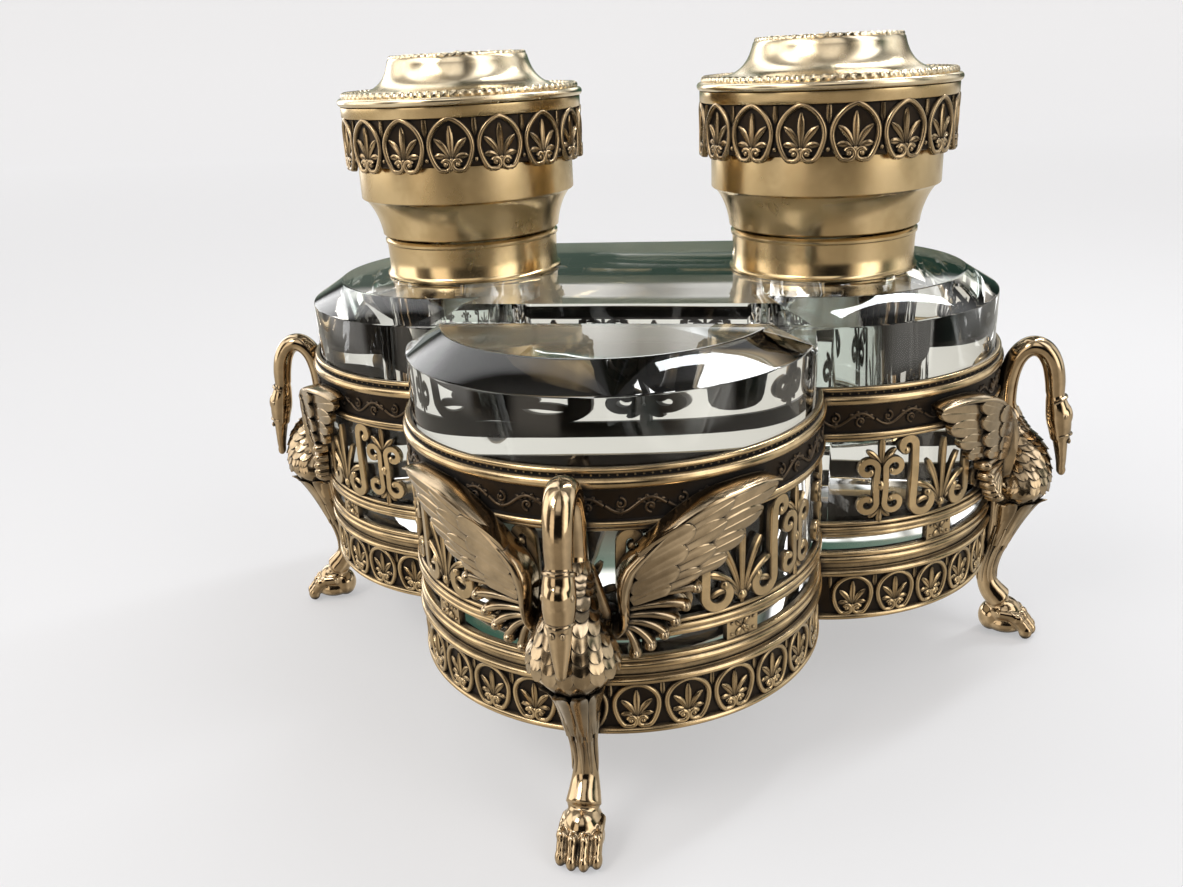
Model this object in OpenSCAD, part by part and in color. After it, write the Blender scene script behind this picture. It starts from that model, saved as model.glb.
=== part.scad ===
// Desk inkwell: a three-lobed crystal block in a pierced brass gallery on three swans,
// with two wells under hinged covers. Millimetres, +Z up, front towards -Y.
// The origin is on the table surface, below the middle of the whole object.

/* [Plan] */
// Radius of each lobe at the gallery rim
rim_r = 38; // [34:0.5:42]
// Distance of each rear lobe centre from the middle
lobe_x = 35.5; // [32:0.5:38]
// Distance of the front lobe centre in front of the rear ones
lobe_y = 40.5; // [37:0.5:44]
// Distance of each well from the middle
well_x = 37.1; // [33:0.1:38]

/* [Heights] */
// Underside of the skirt above the table
skirt_z = 18.6; // [16:0.2:22]
// Top of the skirt's ledge
ledge_z = 29.6; // [27:0.2:31]
// Underside of the rim
rim_z = 62; // [58:0.5:66]
// Top of the crystal block
glass_z = 80; // [74:0.5:86]
// Underside of the covers
cover_z = 88.4; // [86.4:0.2:92]

/* [Crystal] */
// Wall-to-crystal clearance
glass_gap = 0.3; // [0.3:0.1:0.6]
// Width of the bevel round the top
bevel_w = 6.5; // [4:0.5:8]
// Height of the bevel
bevel_h = 4; // [2:0.5:5]
// Radius of the pen groove
groove_r = 7; // [4:0.5:8]
// Radius of the bored wells
well_r = 14.6; // [12:0.2:15]
// Depth of the bored wells
well_d = 36; // [20:1:42]

/* [Covers] */
// Outer radius of the collars
collar_r = 18.8; // [17.8:0.2:20]
// Radius of the plain drum
drum_r = 22.4; // [21.4:0.2:23.4]
// Radius of the palmette band
band_r = 24.8; // [24:0.2:26]
// Radius of the domed centre at its foot
dome_r = 19.8; // [18:0.2:21]
// Number of arches round each cover
arch_count = 16; // [12:1:20]

/* [Gallery] */
// Thickness of the gallery wall
wall_t = 1.2; // [1:0.1:1.4]
// Width of the scroll ribbons
ribbon_w = 1.9; // [1.4:0.1:2.4]
// Angle of the side swans towards the front
side_turn = 7; // [0:1:10]

/* [Hinges] */
// Radius of the hinge pins
pin_r = 0.8; // [0.6:0.1:1]
// Radius of the hinge knuckles
knuckle_r = 1.7; // [1.5:0.1:2]
// Running clearance of the pins, on the radius
pin_fit = 0.05; // [0.02:0.01:0.1]

/* [Hidden] */
$fn = 96;
FACET = 16;

gilt = "#b08a4e";
brass = "#c9a254";
crystal = "#dfe9e4";

// The whole object is centred front to back between the swan's head and the back ledge
swan_reach = 52;                          // from a lobe's centre to the swan's forehead
ledge_r = rim_r + 0.2;
middle_y = (lobe_y + swan_reach - ledge_r) / 2;
well_y = 1;                               // wells stand a little behind the rear lobe centres

centre_front = [0, -lobe_y];
centre_right = [lobe_x, 0];
centre_left = [-lobe_x, 0];

// Gallery radii and levels
wall_r = rim_r - 0.4;
inner_r = wall_r - wall_t;
glass_r = inner_r - glass_gap;
plate_t = 1.8;
plate_z = ledge_z - plate_t;              // the plate's top is level with the ledge
rail_top = 38.2;
panel_top = 55.8;
frieze_z = panel_top;
far = 200;                                // beyond every part of the object

// The plane where two neighbouring lobes meet passes through meet, along meet_dir
meet = [lobe_x / 2, -lobe_y / 2];
meet_dir = [lobe_y, -lobe_x] / norm([lobe_x, lobe_y]);
meet_far = meet + far * meet_dir;

function mix(a, b, t) = a + (b - a) * t;
function bezier(p, t) =
    let (u = 1 - t)
    p[0] * u * u * u + 3 * p[1] * u * u * t + 3 * p[2] * u * t * t + p[3] * t * t * t;

// ---------- shared shapes ----------

module outline(r) {
    for (c = [centre_front, centre_right, centre_left]) translate(c) circle(r);
    polygon([centre_front, centre_right, centre_left]);
    translate([-lobe_x, 0]) square([2 * lobe_x, r]);
}

module placed() translate([0, middle_y, 0]) children();
module flipped(side) mirror([side < 0 ? 1 : 0, 0, 0]) children();

module band(r_out, r_in, z0, z1) {
    translate([0, 0, z0]) linear_extrude(z1 - z0) difference() {
        outline(r_out);
        outline(r_in);
    }
}

// Prism that holds one lobe's share of the outline: 0 front, 1 right, -1 left
module lobe_share(side) {
    translate([0, 0, -1]) linear_extrude(far)
        if (side == 0)
            polygon([meet, meet_far, [meet_far[0], -far], [-meet_far[0], -far],
                     [-meet_far[0], meet_far[1]], [-meet[0], meet[1]]]);
        else
            flipped(side) polygon([meet, meet_far, [far, meet_far[1]], [far, far],
                                   [lobe_x, far], [lobe_x, 0]]);
}

function lobe_centre(side) = side == 0 ? centre_front : [side * lobe_x, 0];

// A moulding of the given profile (x is the radius, y the height) all round the outline
module moulding() {
    for (side = [-1, 0, 1]) intersection() {
        translate(lobe_centre(side)) rotate_extrude() children();
        lobe_share(side);
    }
    translate([-lobe_x, 0, 0]) rotate([90, 0, 90]) linear_extrude(2 * lobe_x) children();
}

// ---------- gallery ----------

module base_plate() {
    color(gilt) placed() translate([0, 0, plate_z]) linear_extrude(plate_t)
        outline(inner_r);
}

module base_skirt() {
    color(gilt) difference() {
        placed() {
            band(wall_r - 0.3, inner_r, skirt_z, ledge_z);
            moulding() translate([wall_r - 0.6, ledge_z - 1.7])
                square([ledge_r - wall_r + 0.6, 1.7]);
            moulding() translate([wall_r - 0.6, skirt_z]) square([0.9, 1.4]);
        }
        screw_holes();
    }
}

// Outline of one raised arch, its foot at the origin
module arch_2d(w, h) {
    translate([0, h - w / 2]) circle(w / 2);
    translate([-w / 2, 0]) square([w, h - w / 2]);
}

// Upright applique of thickness t on a round wall of radius r, turned by a
module on_wall(r, t, a, z) {
    rotate([0, 0, a]) translate([0, -r + 0.3, z]) rotate([90, 0, 0])
        linear_extrude(t + 0.3) children();
}

skirt_arch_step = 13.2;                   // degrees between arches on a lobe
skirt_arch_w = 6.9;
skirt_arch_h = ledge_z - skirt_z - 3.6;
skirt_face_r = wall_r - 0.3;

module skirt_arches(side, steps) {
    translate(lobe_centre(side)) difference() {
        for (i = steps) on_wall(skirt_face_r, 0.6, i * skirt_arch_step, skirt_z + 1.6)
            arch_2d(skirt_arch_w, skirt_arch_h);
        cylinder(r = skirt_face_r, h = ledge_z, $fn = 360);
    }
}

module skirt_palmettes() {
    color(gilt) placed() {
        skirt_arches(0, [-6:1:6]);
        for (s = [-1, 1]) skirt_arches(s, [for (i = [1:13]) s * i]);
        for (i = [-3.5:1:3.5]) translate([i * 8.4, 0, 0]) translate([0, 0.3, 0])
            on_wall(skirt_face_r, 0.3, 180, skirt_z + 1.6) arch_2d(skirt_arch_w, skirt_arch_h);
    }
}

// Lyres stand behind each swan and at equal steps either side of it
lyre_step = 42;                           // degrees
back_step = 2 * lobe_x / 3;               // spacing along the straight back
function lyre_turns(side) =
    side == 0 ? [for (i = [-1:1]) i * lyre_step]
              : [for (i = [-1:1]) side * (90 - side_turn + i * lyre_step)];
function between_turns(side) =
    side == 0 ? [for (i = [-2, -1.5, -0.5, 0.5, 1.5, 2]) i * lyre_step]
              : [for (i = [-1.5, -0.5, 0.5, 1.5, 2.07]) side * (90 - side_turn + i * lyre_step)];

module lower_rail() {
    foot_top = ledge_z + 2.5;
    head_low = rail_top - 1.9;
    color(gilt) placed() {
        // lower double moulding, standing on the ledge
        moulding() translate([inner_r, ledge_z]) {
            square([wall_r - inner_r, foot_top - ledge_z]);
            translate([0, 1]) square([wall_r - inner_r + 0.4, foot_top - ledge_z - 1]);
        }
        // upper rail
        moulding() translate([inner_r, head_low])
            square([wall_r - inner_r + 0.4, rail_top - head_low]);
        // a block under each lyre joins them
        for (side = [-1, 0, 1]) for (a = lyre_turns(side)) translate(lobe_centre(side))
            joining_block(a, foot_top, head_low);
        for (i = [-1:1]) translate([i * back_step, 0, 0]) joining_block(180, foot_top, head_low);
    }
}

module joining_block(a, z0, z1)
    rotate([0, 0, a]) translate([-3, -wall_r - 0.1, z0 - 0.5]) cube([6, 0.8, z1 - z0 + 1]);

// ---------- scroll panels ----------

// Round end of a scroll
module ring_2d(r, w) difference() { circle(r); circle(r - w); }

panel_h = panel_top - rail_top;

// Two ribbons that curl in at the foot and out at the head, round a leaf on a stem
module lyre_2d() {
    foot_r = 4;
    head_r = 1.7;
    for (s = [-1, 1]) flipped(s) {
        translate([8 - ribbon_w, foot_r]) square([ribbon_w, panel_h - foot_r - head_r]);
        translate([8 - foot_r, foot_r + 0.3]) ring_2d(foot_r, ribbon_w);
        translate([8 - ribbon_w + head_r, panel_h - head_r - 0.3]) ring_2d(head_r, ribbon_w * 0.8);
    }
    translate([-0.6, 0.2]) square([1.2, panel_h - 4.6]);
    for (s = [-1, 1]) for (k = [0:2]) translate([0, 6 + k * 1.6]) rotate([0, 0, s * (64 - k * 20)])
        translate([-0.65, 0]) square([1.3, 5.4]);
}

// Two open scrolls back to back, one above the other, between the lyres
module between_2d() {
    for (s = [-1, 1]) flipped(s) for (z = [3.4, panel_h - 3.4]) translate([2.6, z])
        ring_2d(3.1, ribbon_w * 0.8);
    translate([-0.8, 2]) square([1.6, panel_h - 4]);
}

// Pierced plate standing on the wall's inner radius, turned by a
module plate_at(a)
    rotate([0, 0, a]) translate([0, -inner_r, rail_top]) rotate([90, 0, 0])
        linear_extrude(plate_thick) children();

plate_thick = 1;
strip_h = 1.1;                            // height of the thin rails along a panel

// The pierced strip of one lobe: scrolls between two thin rails
module lobe_panel(side) {
    color(gilt) placed() {
        translate(lobe_centre(side)) {
            for (a = lyre_turns(side)) plate_at(a) lyre_2d();
            for (a = between_turns(side)) plate_at(a) between_2d();
        }
        intersection() {
            translate(lobe_centre(side)) difference() {
                for (z = [rail_top, panel_top - strip_h]) translate([0, 0, z])
                    cylinder(r = wall_r, h = strip_h);
                cylinder(r = inner_r, h = far);
            }
            lobe_share(side);
        }
    }
}

module scroll_panel_front() lobe_panel(0);
module scroll_panel_left() lobe_panel(-1);
module scroll_panel_right() lobe_panel(1);

module scroll_panel_back() {
    color(gilt) placed() {
        for (i = [-1:1]) translate([i * back_step, 0, 0]) plate_at(180) lyre_2d();
        for (i = [-0.5, 0.5]) translate([i * back_step, 0, 0]) plate_at(180) between_2d();
        for (z = [rail_top, panel_top - strip_h]) translate([-lobe_x, inner_r, z])
            cube([2 * lobe_x, wall_t, strip_h]);
    }
}

module gallery_frieze() {
    color(gilt) placed() {
        band(wall_r - 0.2, inner_r, frieze_z, rim_z);
        moulding() translate([wall_r - 0.4, frieze_z]) square([0.7, 1.1]);
    }
}

// A thick lower roll and a thin upper fillet with a channel between them
module gallery_rim() {
    color(gilt) placed() moulding() translate([inner_r, rim_z]) {
        square([rim_r - inner_r - 0.3, 2]);
        translate([0, 0.4]) square([rim_r - inner_r, 1.2]);
        square([rim_r - inner_r - 1.2, 3.3]);
        translate([0, 2.4]) square([rim_r - inner_r - 0.9, 0.9]);
    }
}

// ---------- swans ----------

// Each swan is drawn in the plane x = distance out from the lobe's centre, z = height,
// then turned to its lobe's direction.
module at_lobe(side) {
    turn = side == 0 ? -90 : side > 0 ? -side_turn : 180 + side_turn;
    placed() translate(lobe_centre(side)) rotate([0, 0, turn]) children();
}

SIDES = 12;

// Tube along a flat path in the x-z plane: each station is [x, z, half width, half depth]
module limb(stations) {
    n = len(stations);
    function along(i) =
        let (a = stations[max(i - 1, 0)], b = stations[min(i + 1, n - 1)], d = [b[0] - a[0], b[1] - a[1]])
        d / norm(d);
    points = [for (i = [0:n - 1]) let (s = stations[i], d = along(i)) for (k = [0:SIDES - 1])
        let (a = 360 * k / SIDES, across = s[3] * cos(a), wide = s[2] * sin(a))
        [s[0] - d[1] * across, wide, s[1] + d[0] * across]];
    rings = [for (i = [0:n - 2]) for (k = [0:SIDES - 1]) let (m = (k + 1) % SIDES)
        each [[i * SIDES + k, i * SIDES + m, (i + 1) * SIDES + k],
              [i * SIDES + m, (i + 1) * SIDES + m, (i + 1) * SIDES + k]]];
    first = [[for (k = [SIDES - 1:-1:0]) k]];
    last = [[for (k = [0:SIDES - 1]) (n - 1) * SIDES + k]];
    polyhedron(points, concat(rings, first, last));
}

// Stations along one cubic curve, with the half sizes running from a to b
function run(p, a, b, n, from = 0) =
    [for (i = [from:n]) let (t = i / n, q = bezier(p, t)) concat(q, mix(a, b, t))];

// Rising limb close to the rim, arch, falling limb, and head bent down to the breast
neck_path = concat(
    run([[41.5, 36], [39.6, 44], [38.9, 50], [39.2, 56]], [4.6, 3.4], [2.4, 1.9], 7),
    run([[39.2, 56], [39.4, 61.5], [40.6, 64.3], [43.2, 64.3]], [2.4, 1.9], [2.5, 2.1], 7, 1),
    run([[43.2, 64.3], [47, 64.3], [47.6, 59], [48.2, 53]], [2.5, 2.1], [2.1, 1.9], 9, 1)
);
head_path = concat(
    run([[48.2, 54], [48.6, 51.5], [49.4, 49.5], [49.6, 46.5]], [2.1, 1.9], [2.6, 2.3], 4),
    run([[49.6, 46.5], [50, 44], [50.6, 41.5], [50.8, 37.6]], [2.6, 2.3], [0.9, 0.7], 6, 1)
);
breast_path = [
    [39.6, 50, 2.6, 1.8], [40.6, 47, 5, 3.4], [42, 43, 7, 5.4], [42.8, 38.5, 7.7, 5.9],
    [43, 34.5, 7.2, 5.6], [42, 31, 6, 4.6], [41, 28, 4.8, 3.6]
];
leg_path = concat(
    run([[41, 31], [41, 26], [38.9, 22], [38.6, 17]], [4.8, 3.8], [2.1, 1.9], 6),
    run([[38.6, 17], [38.4, 13.5], [40, 11], [42.5, 8.5]], [2.1, 1.9], [3.2, 2.9], 5, 1)
);

module swan(side) {
    color(gilt) difference() {
        at_lobe(side) {
            limb(neck_path);
            limb(head_path);
            limb(breast_path);
            limb(leg_path);
            paw();
            // pad behind the leg, which the screws pull against the skirt
            translate([rim_r - 1, -3, 21.4]) cube([4.2, 6, 7.6]);
        }
        placed() translate([0, 0, skirt_z]) linear_extrude(far) outline(ledge_r + 0.05);
        screw_holes();
    }
}

// Lion's paw: a pad with four toes, flat underneath
module paw() {
    difference() {
        union() {
            hull() {
                translate([42.6, 0, 6.4]) sphere(3.4, $fn = FACET);
                translate([44.4, 0, 2.8]) sphere(3.7, $fn = FACET);
            }
            for (y = [-2.8, -0.95, 0.95, 2.8]) hull() {
                translate([44.6, y, 3.4]) sphere(1.4, $fn = FACET);
                translate([48.8 - abs(y) * 0.4, y, 1.3]) sphere(1.3, $fn = FACET);
            }
        }
        translate([0, -20, -10]) cube([80, 40, 10]);
    }
}

module swan_front() swan(0);
module swan_left() swan(-1);
module swan_right() swan(1);

// Wing: a curved plate that follows the lobe's wall, from the breast up to under the rim
wing_t = 1.4;
wing_in = ledge_r + 0.5;
wing_steps = 12;

// Lower and upper edge heights of the wing at turn a degrees from the swan's plane
function wing_low(t) = bezier([32, 40, 49, 57], t);
function wing_high(t) = bezier([44, 62, 60, 60.5], t);
function wing_turn(t) = 9 + 40 * t;

module wing() {
    slices = [for (i = [0:wing_steps]) let (t = i / wing_steps) [wing_turn(t), wing_low(t), wing_high(t)]];
    points = [for (s = slices) each [
        [wing_in * cos(s[0]), wing_in * sin(s[0]), s[1]],
        [(wing_in + wing_t) * cos(s[0]), (wing_in + wing_t) * sin(s[0]), s[1]],
        [(wing_in + wing_t) * cos(s[0]), (wing_in + wing_t) * sin(s[0]), s[2]],
        [wing_in * cos(s[0]), wing_in * sin(s[0]), s[2]]]];
    sides = [for (i = [0:wing_steps - 1]) for (k = [0:3]) let (m = (k + 1) % 4, p = 4 * i, q = p + 4)
        each [[p + k, q + k, p + m], [p + m, q + k, q + m]]];
    polyhedron(points, concat(sides, [[0, 1, 2, 3], [for (k = [3:-1:0]) 4 * wing_steps + k]]));
}

module wings(side) {
    color(gilt) difference() {
        at_lobe(side) {
            wing();
            mirror([0, 1, 0]) wing();
        }
        at_lobe(side) limb(breast_path);
        at_lobe(side) limb(neck_path);
        at_lobe(side) limb(leg_path);
    }
}

module wings_front() wings(0);
module wings_left() wings(-1);
module wings_right() wings(1);

// Screws from inside the skirt into each swan, one above the other
screw_r = 0.9;
screw_heights = [22.8, 25.8];
module at_screws() for (side = [-1, 0, 1]) at_lobe(side)
    for (z = screw_heights) translate([inner_r - 1, 0, z]) rotate([0, 90, 0]) children();

module screw_holes() at_screws() cylinder(r = screw_r + 0.1, h = 5.2);

module swan_screws() {
    color(brass) at_screws() {
        cylinder(r = 1.4, h = 1);
        cylinder(r = screw_r, h = 5);
    }
}

// ---------- crystal and wells ----------

neck_r = 16.2;                            // short ground neck inside each collar
neck_z = glass_z + 4;
well_floor = neck_z - well_d;
groove_y = -lobe_y - 1.1;
liner_t = 1.4;
collar_top = cover_z - 0.3;

module at_well(side) placed() translate([side * well_x, well_y, 0]) children();

module crystal_block() {
    bevel_z = glass_z - bevel_h;
    color(crystal, 0.4) difference() {
        union() {
            placed() {
                translate([0, 0, ledge_z]) linear_extrude(bevel_z - ledge_z) outline(glass_r);
                for (side = [-1, 0, 1]) translate(lobe_centre(side)) translate([0, 0, bevel_z])
                    cylinder(r1 = glass_r, r2 = glass_r - bevel_w, h = bevel_h);
                translate([0, 0, bevel_z]) linear_extrude(bevel_h)
                    polygon([centre_front, centre_right, centre_left]);
                translate([-lobe_x, 0, bevel_z]) rotate([90, 0, 90]) linear_extrude(2 * lobe_x)
                    polygon([[0, 0], [glass_r, 0], [glass_r - bevel_w, bevel_h], [0, bevel_h]]);
            }
            for (side = [-1, 1]) at_well(side) translate([0, 0, bevel_z])
                cylinder(r = neck_r, h = neck_z - bevel_z);
        }
        for (side = [-1, 1]) at_well(side) translate([0, 0, well_floor])
            cylinder(r = well_r, h = well_d + 1);
        placed() translate([-far / 2, groove_y, glass_z]) rotate([0, 90, 0])
            cylinder(r = groove_r, h = far);
    }
}

module ink_liner(side) {
    r = well_r - 0.3;
    color(crystal, 0.5) at_well(side) difference() {
        translate([0, 0, well_floor]) cylinder(r = r, h = collar_top - 0.6 - well_floor);
        translate([0, 0, well_floor + 2]) cylinder(r = r - liner_t, h = well_d + 10);
    }
}
module ink_liner_left() ink_liner(-1);
module ink_liner_right() ink_liner(1);

// ---------- collars and hinges ----------

hinge_y = collar_r + knuckle_r + 0.2;     // behind the well's centre
hinge_z = cover_z - 0.1;
knuckle_half = 6;
tongue_half = 2;                          // half the width of the cover's own knuckle

// Straight piece along x from x0 to x1 on the hinge's axis
module hinge_rod(r, x0, x1)
    translate([x0, hinge_y, hinge_z]) rotate([0, 90, 0]) cylinder(r = r, h = x1 - x0);

module collar(side) {
    color(brass) at_well(side) difference() {
        union() {
            translate([0, 0, glass_z]) cylinder(r = collar_r, h = collar_top - glass_z);
            for (s = [-1, 1]) flipped(s) {
                hinge_rod(knuckle_r, tongue_half + 0.1, knuckle_half);
                translate([tongue_half + 0.1, collar_r - 2, hinge_z - knuckle_r])
                    cube([knuckle_half - tongue_half - 0.1, knuckle_r + 2.2, knuckle_r - 0.2]);
            }
        }
        translate([0, 0, glass_z - 1]) cylinder(r = neck_r, h = neck_z - glass_z + 1);
        translate([0, 0, glass_z - 1]) cylinder(r = well_r, h = 20);
        hinge_rod(pin_r, -knuckle_half - 1, knuckle_half + 1);
    }
}
module collar_left() collar(-1);
module collar_right() collar(1);

module hinge_pin(side) {
    color(brass) at_well(side) hinge_rod(pin_r, -knuckle_half - 0.4, knuckle_half + 0.4);
}
module hinge_pin_left() hinge_pin(-1);
module hinge_pin_right() hinge_pin(1);

// ---------- covers ----------

shell_t = 1.2;
drum_z = cover_z + 8.3;
band_z = cover_z + 14.2;
cap_z = cover_z + 26.4;
moulding_h = 2.3;
dome_z = cap_z + moulding_h;
dome_top = dome_z + 6.4;
COVE_STEPS = 8;

module cover_shell(side) {
    foot_r = collar_r + 0.1;
    color(brass) at_well(side) {
        difference() {
            union() {
                rotate_extrude() polygon(concat([[0, cover_z]],
                    cove_flare(foot_r, drum_r - 0.4, cover_z, drum_z),
                    [[drum_r, drum_z], [drum_r, cap_z], [0, cap_z]]));
                // tongue and knuckle of the hinge
                hinge_rod(knuckle_r, -tongue_half, tongue_half);
                translate([-tongue_half, collar_r - 1, hinge_z + 0.3])
                    cube([2 * tongue_half, knuckle_r + 1.2, knuckle_r - 0.3]);
            }
            hinge_rod(pin_r + pin_fit, -knuckle_half, knuckle_half);
            translate([0, 0, cover_z + lining_t])
                cylinder(r1 = foot_r - shell_t, r2 = drum_r - shell_t, h = drum_z - cover_z);
            translate([0, 0, drum_z]) cylinder(r = drum_r - shell_t, h = cap_z);
            translate([0, 0, cover_z - 1]) cylinder(r = lining_r, h = lining_t + 2);
        }
    }
}

// Vertical at the foot, curving outwards to the drum
function cove_flare(r0, r1, z0, z1) =
    [for (i = [0:COVE_STEPS]) let (a = 90 * i / COVE_STEPS)
        [r0 + (r1 - r0) * (1 - cos(a)), z0 + (z1 - z0) * sin(a)]];

module cover_shell_left() cover_shell(-1);
module cover_shell_right() cover_shell(1);

lining_r = 16.4;
lining_t = 1.6;
module cover_lining(side) {
    color(brass) at_well(side) translate([0, 0, cover_z]) cylinder(r = lining_r, h = lining_t);
}
module cover_lining_left() cover_lining(-1);
module cover_lining_right() cover_lining(1);

// Overhanging band with raised arches, and a plain fascia above them
module palmette_band(side) {
    fascia_h = 2.2;
    arch_h = cap_z - band_z - fascia_h - 0.4;
    arch_w = 2 * PI * band_r / arch_count - 0.9;
    color(brass) at_well(side) difference() {
        union() {
            translate([0, 0, band_z]) cylinder(r = band_r - 0.7, h = cap_z - band_z);
            translate([0, 0, cap_z - fascia_h]) cylinder(r = band_r, h = fascia_h);
            for (i = [0:arch_count - 1])
                on_wall(band_r - 0.7, 0.6, i * 360 / arch_count, band_z) arch_2d(arch_w, arch_h);
        }
        translate([0, 0, band_z - 1]) cylinder(r = drum_r, h = cap_z - band_z + 2);
    }
}
module palmette_band_left() palmette_band(-1);
module palmette_band_right() palmette_band(1);

module cover_cap(side) {
    color(brass) at_well(side) translate([0, 0, cap_z]) {
        rotate_extrude() difference() {
            union() {
                square([band_r + 0.4, moulding_h - 0.6]);
                square([band_r - 0.4, moulding_h]);
                dome_2d(0);
            }
            dome_2d(shell_t);
        }
    }
}

// Half section of the dome with its hollow sides, drawn smaller by t
module dome_2d(t) {
    top_r = rosette_r + 0.6;
    polygon(concat([[0, 0], [dome_r - t, 0]],
        [for (i = [0:COVE_STEPS]) let (a = 90 * i / COVE_STEPS)
            [mix(dome_r, top_r, sin(a)) - t, moulding_h - t + (dome_top - dome_z) * (1 - cos(a))]],
        [[0, dome_top - cap_z - t]]));
}
module cover_cap_left() cover_cap(-1);
module cover_cap_right() cover_cap(1);

// Low wreath on the dome: a rim, a ring of buttons, spokes and a central boss
rosette_r = 13.6;
module cover_rosette(side) {
    color(brass) at_well(side) translate([0, 0, dome_top]) {
        difference() {
            cylinder(r = rosette_r, h = 0.8);
            translate([0, 0, -1]) cylinder(r = rosette_r - 1.2, h = 3);
        }
        for (i = [0:11]) rotate([0, 0, i * 30]) translate([8.2, 0, 0]) cylinder(r = 2.3, h = 1);
        cylinder(r = 3.4, h = 1.4);
        for (i = [0:11]) rotate([0, 0, i * 30]) translate([2.6, -0.5, 0]) cube([10.2, 1, 0.6]);
    }
}
module cover_rosette_left() cover_rosette(-1);
module cover_rosette_right() cover_rosette(1);

base_plate();
base_skirt();
skirt_palmettes();
lower_rail();
scroll_panel_front();
scroll_panel_left();
scroll_panel_right();
scroll_panel_back();
gallery_frieze();
gallery_rim();
swan_front();
swan_left();
swan_right();
wings_front();
wings_left();
wings_right();
swan_screws();
crystal_block();
ink_liner_left();
ink_liner_right();
collar_left();
collar_right();
hinge_pin_left();
hinge_pin_right();
cover_shell_left();
cover_shell_right();
palmette_band_left();
palmette_band_right();
cover_cap_left();
cover_cap_right();
cover_rosette_left();
cover_rosette_right();
cover_lining_left();
cover_lining_right();
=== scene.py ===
"""Looks of a desk inkwell: lobed crystal block, pierced gilt gallery, three swans, two covered wells.

Shapes are worked out in millimetres in the part's own frame and turned to metres when a mesh is made.
"""
import math

import bmesh
import bpy
import numpy as np
from mathutils import Matrix, Vector


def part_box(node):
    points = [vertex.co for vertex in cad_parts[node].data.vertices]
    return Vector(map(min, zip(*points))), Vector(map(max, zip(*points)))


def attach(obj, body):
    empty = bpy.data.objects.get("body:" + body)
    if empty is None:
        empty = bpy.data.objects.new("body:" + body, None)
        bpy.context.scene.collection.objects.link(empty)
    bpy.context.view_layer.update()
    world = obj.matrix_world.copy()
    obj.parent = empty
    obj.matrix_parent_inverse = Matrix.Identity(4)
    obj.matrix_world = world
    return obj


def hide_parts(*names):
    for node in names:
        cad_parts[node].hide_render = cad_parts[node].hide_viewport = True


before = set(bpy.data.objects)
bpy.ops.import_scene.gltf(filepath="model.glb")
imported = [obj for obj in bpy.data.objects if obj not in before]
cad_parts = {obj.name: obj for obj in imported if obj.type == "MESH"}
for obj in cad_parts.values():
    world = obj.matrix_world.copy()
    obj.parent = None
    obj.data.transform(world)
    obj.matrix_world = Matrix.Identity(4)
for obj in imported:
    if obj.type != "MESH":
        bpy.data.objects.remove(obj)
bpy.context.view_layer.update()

MM = 0.001
TAU = 2 * math.pi

# ---------------------------------------------------------------- places taken from the frame


def box_mm(node):
    low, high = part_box(node)
    return np.array(low) / MM, np.array(high) / MM


cap_low, cap_high = box_mm("cover_cap_right")
plate_low, plate_high = box_mm("base_plate")
skirt_low, skirt_high = box_mm("base_skirt")
panel_low, panel_high = box_mm("scroll_panel_front")
band_low, band_high = box_mm("palmette_band_right")
liner_low, liner_high = box_mm("ink_liner_right")
pin_low, pin_high = box_mm("hinge_pin_right")

WELL_X, WELL_Y = (cap_low[0] + cap_high[0]) / 2, (cap_low[1] + cap_high[1]) / 2
WELL_BEHIND = 1.0                       # the wells stand this far behind the rear lobe centres
REAR_Y = WELL_Y - WELL_BEHIND
INNER_R = plate_high[1] - REAR_Y        # inside of the gallery wall
LOBE_X = plate_high[0] - INNER_R
FRONT_Y = plate_low[1] + INNER_R
WALL_R = INNER_R + 1.2                  # outside of the gallery wall
LEDGE_R = WALL_R + 0.6                  # the ledge on top of the skirt
GLASS_R = INNER_R - 0.3

SKIRT_Z, LEDGE_Z = skirt_low[2], skirt_high[2]
RAIL_TOP, PANEL_TOP = panel_low[2], panel_high[2]
RIM_Z = box_mm("gallery_rim")[0][2]
GLASS_Z = box_mm("collar_right")[0][2]  # flat top of the crystal
COVER_Z = box_mm("cover_lining_right")[0][2]
COLLAR_TOP = COVER_Z - 0.3
BAND_Z, CAP_Z = band_low[2], band_high[2]
DOME_H = cap_high[2] - band_high[2]
HINGE_Y, HINGE_Z = (pin_low[1] + pin_high[1]) / 2, (pin_low[2] + pin_high[2]) / 2
SWAN_TURN = 7.0                         # degrees that the side swans are turned to the front
GROOVE_Y, GROOVE_R = FRONT_Y - 1.1, 7.3  # the pen groove across the crystal

FRONT, RIGHT, LEFT = 0, 1, -1
CENTRES = {FRONT: (0.0, FRONT_Y), RIGHT: (LOBE_X, REAR_Y), LEFT: (-LOBE_X, REAR_Y)}
SIDE_NAMES = {FRONT: "front", RIGHT: "right", LEFT: "left"}
SWAN_TURNS = {FRONT: 0.0, RIGHT: 90 - SWAN_TURN, LEFT: -(90 - SWAN_TURN)}

# ---------------------------------------------------------------- mesh tools


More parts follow.
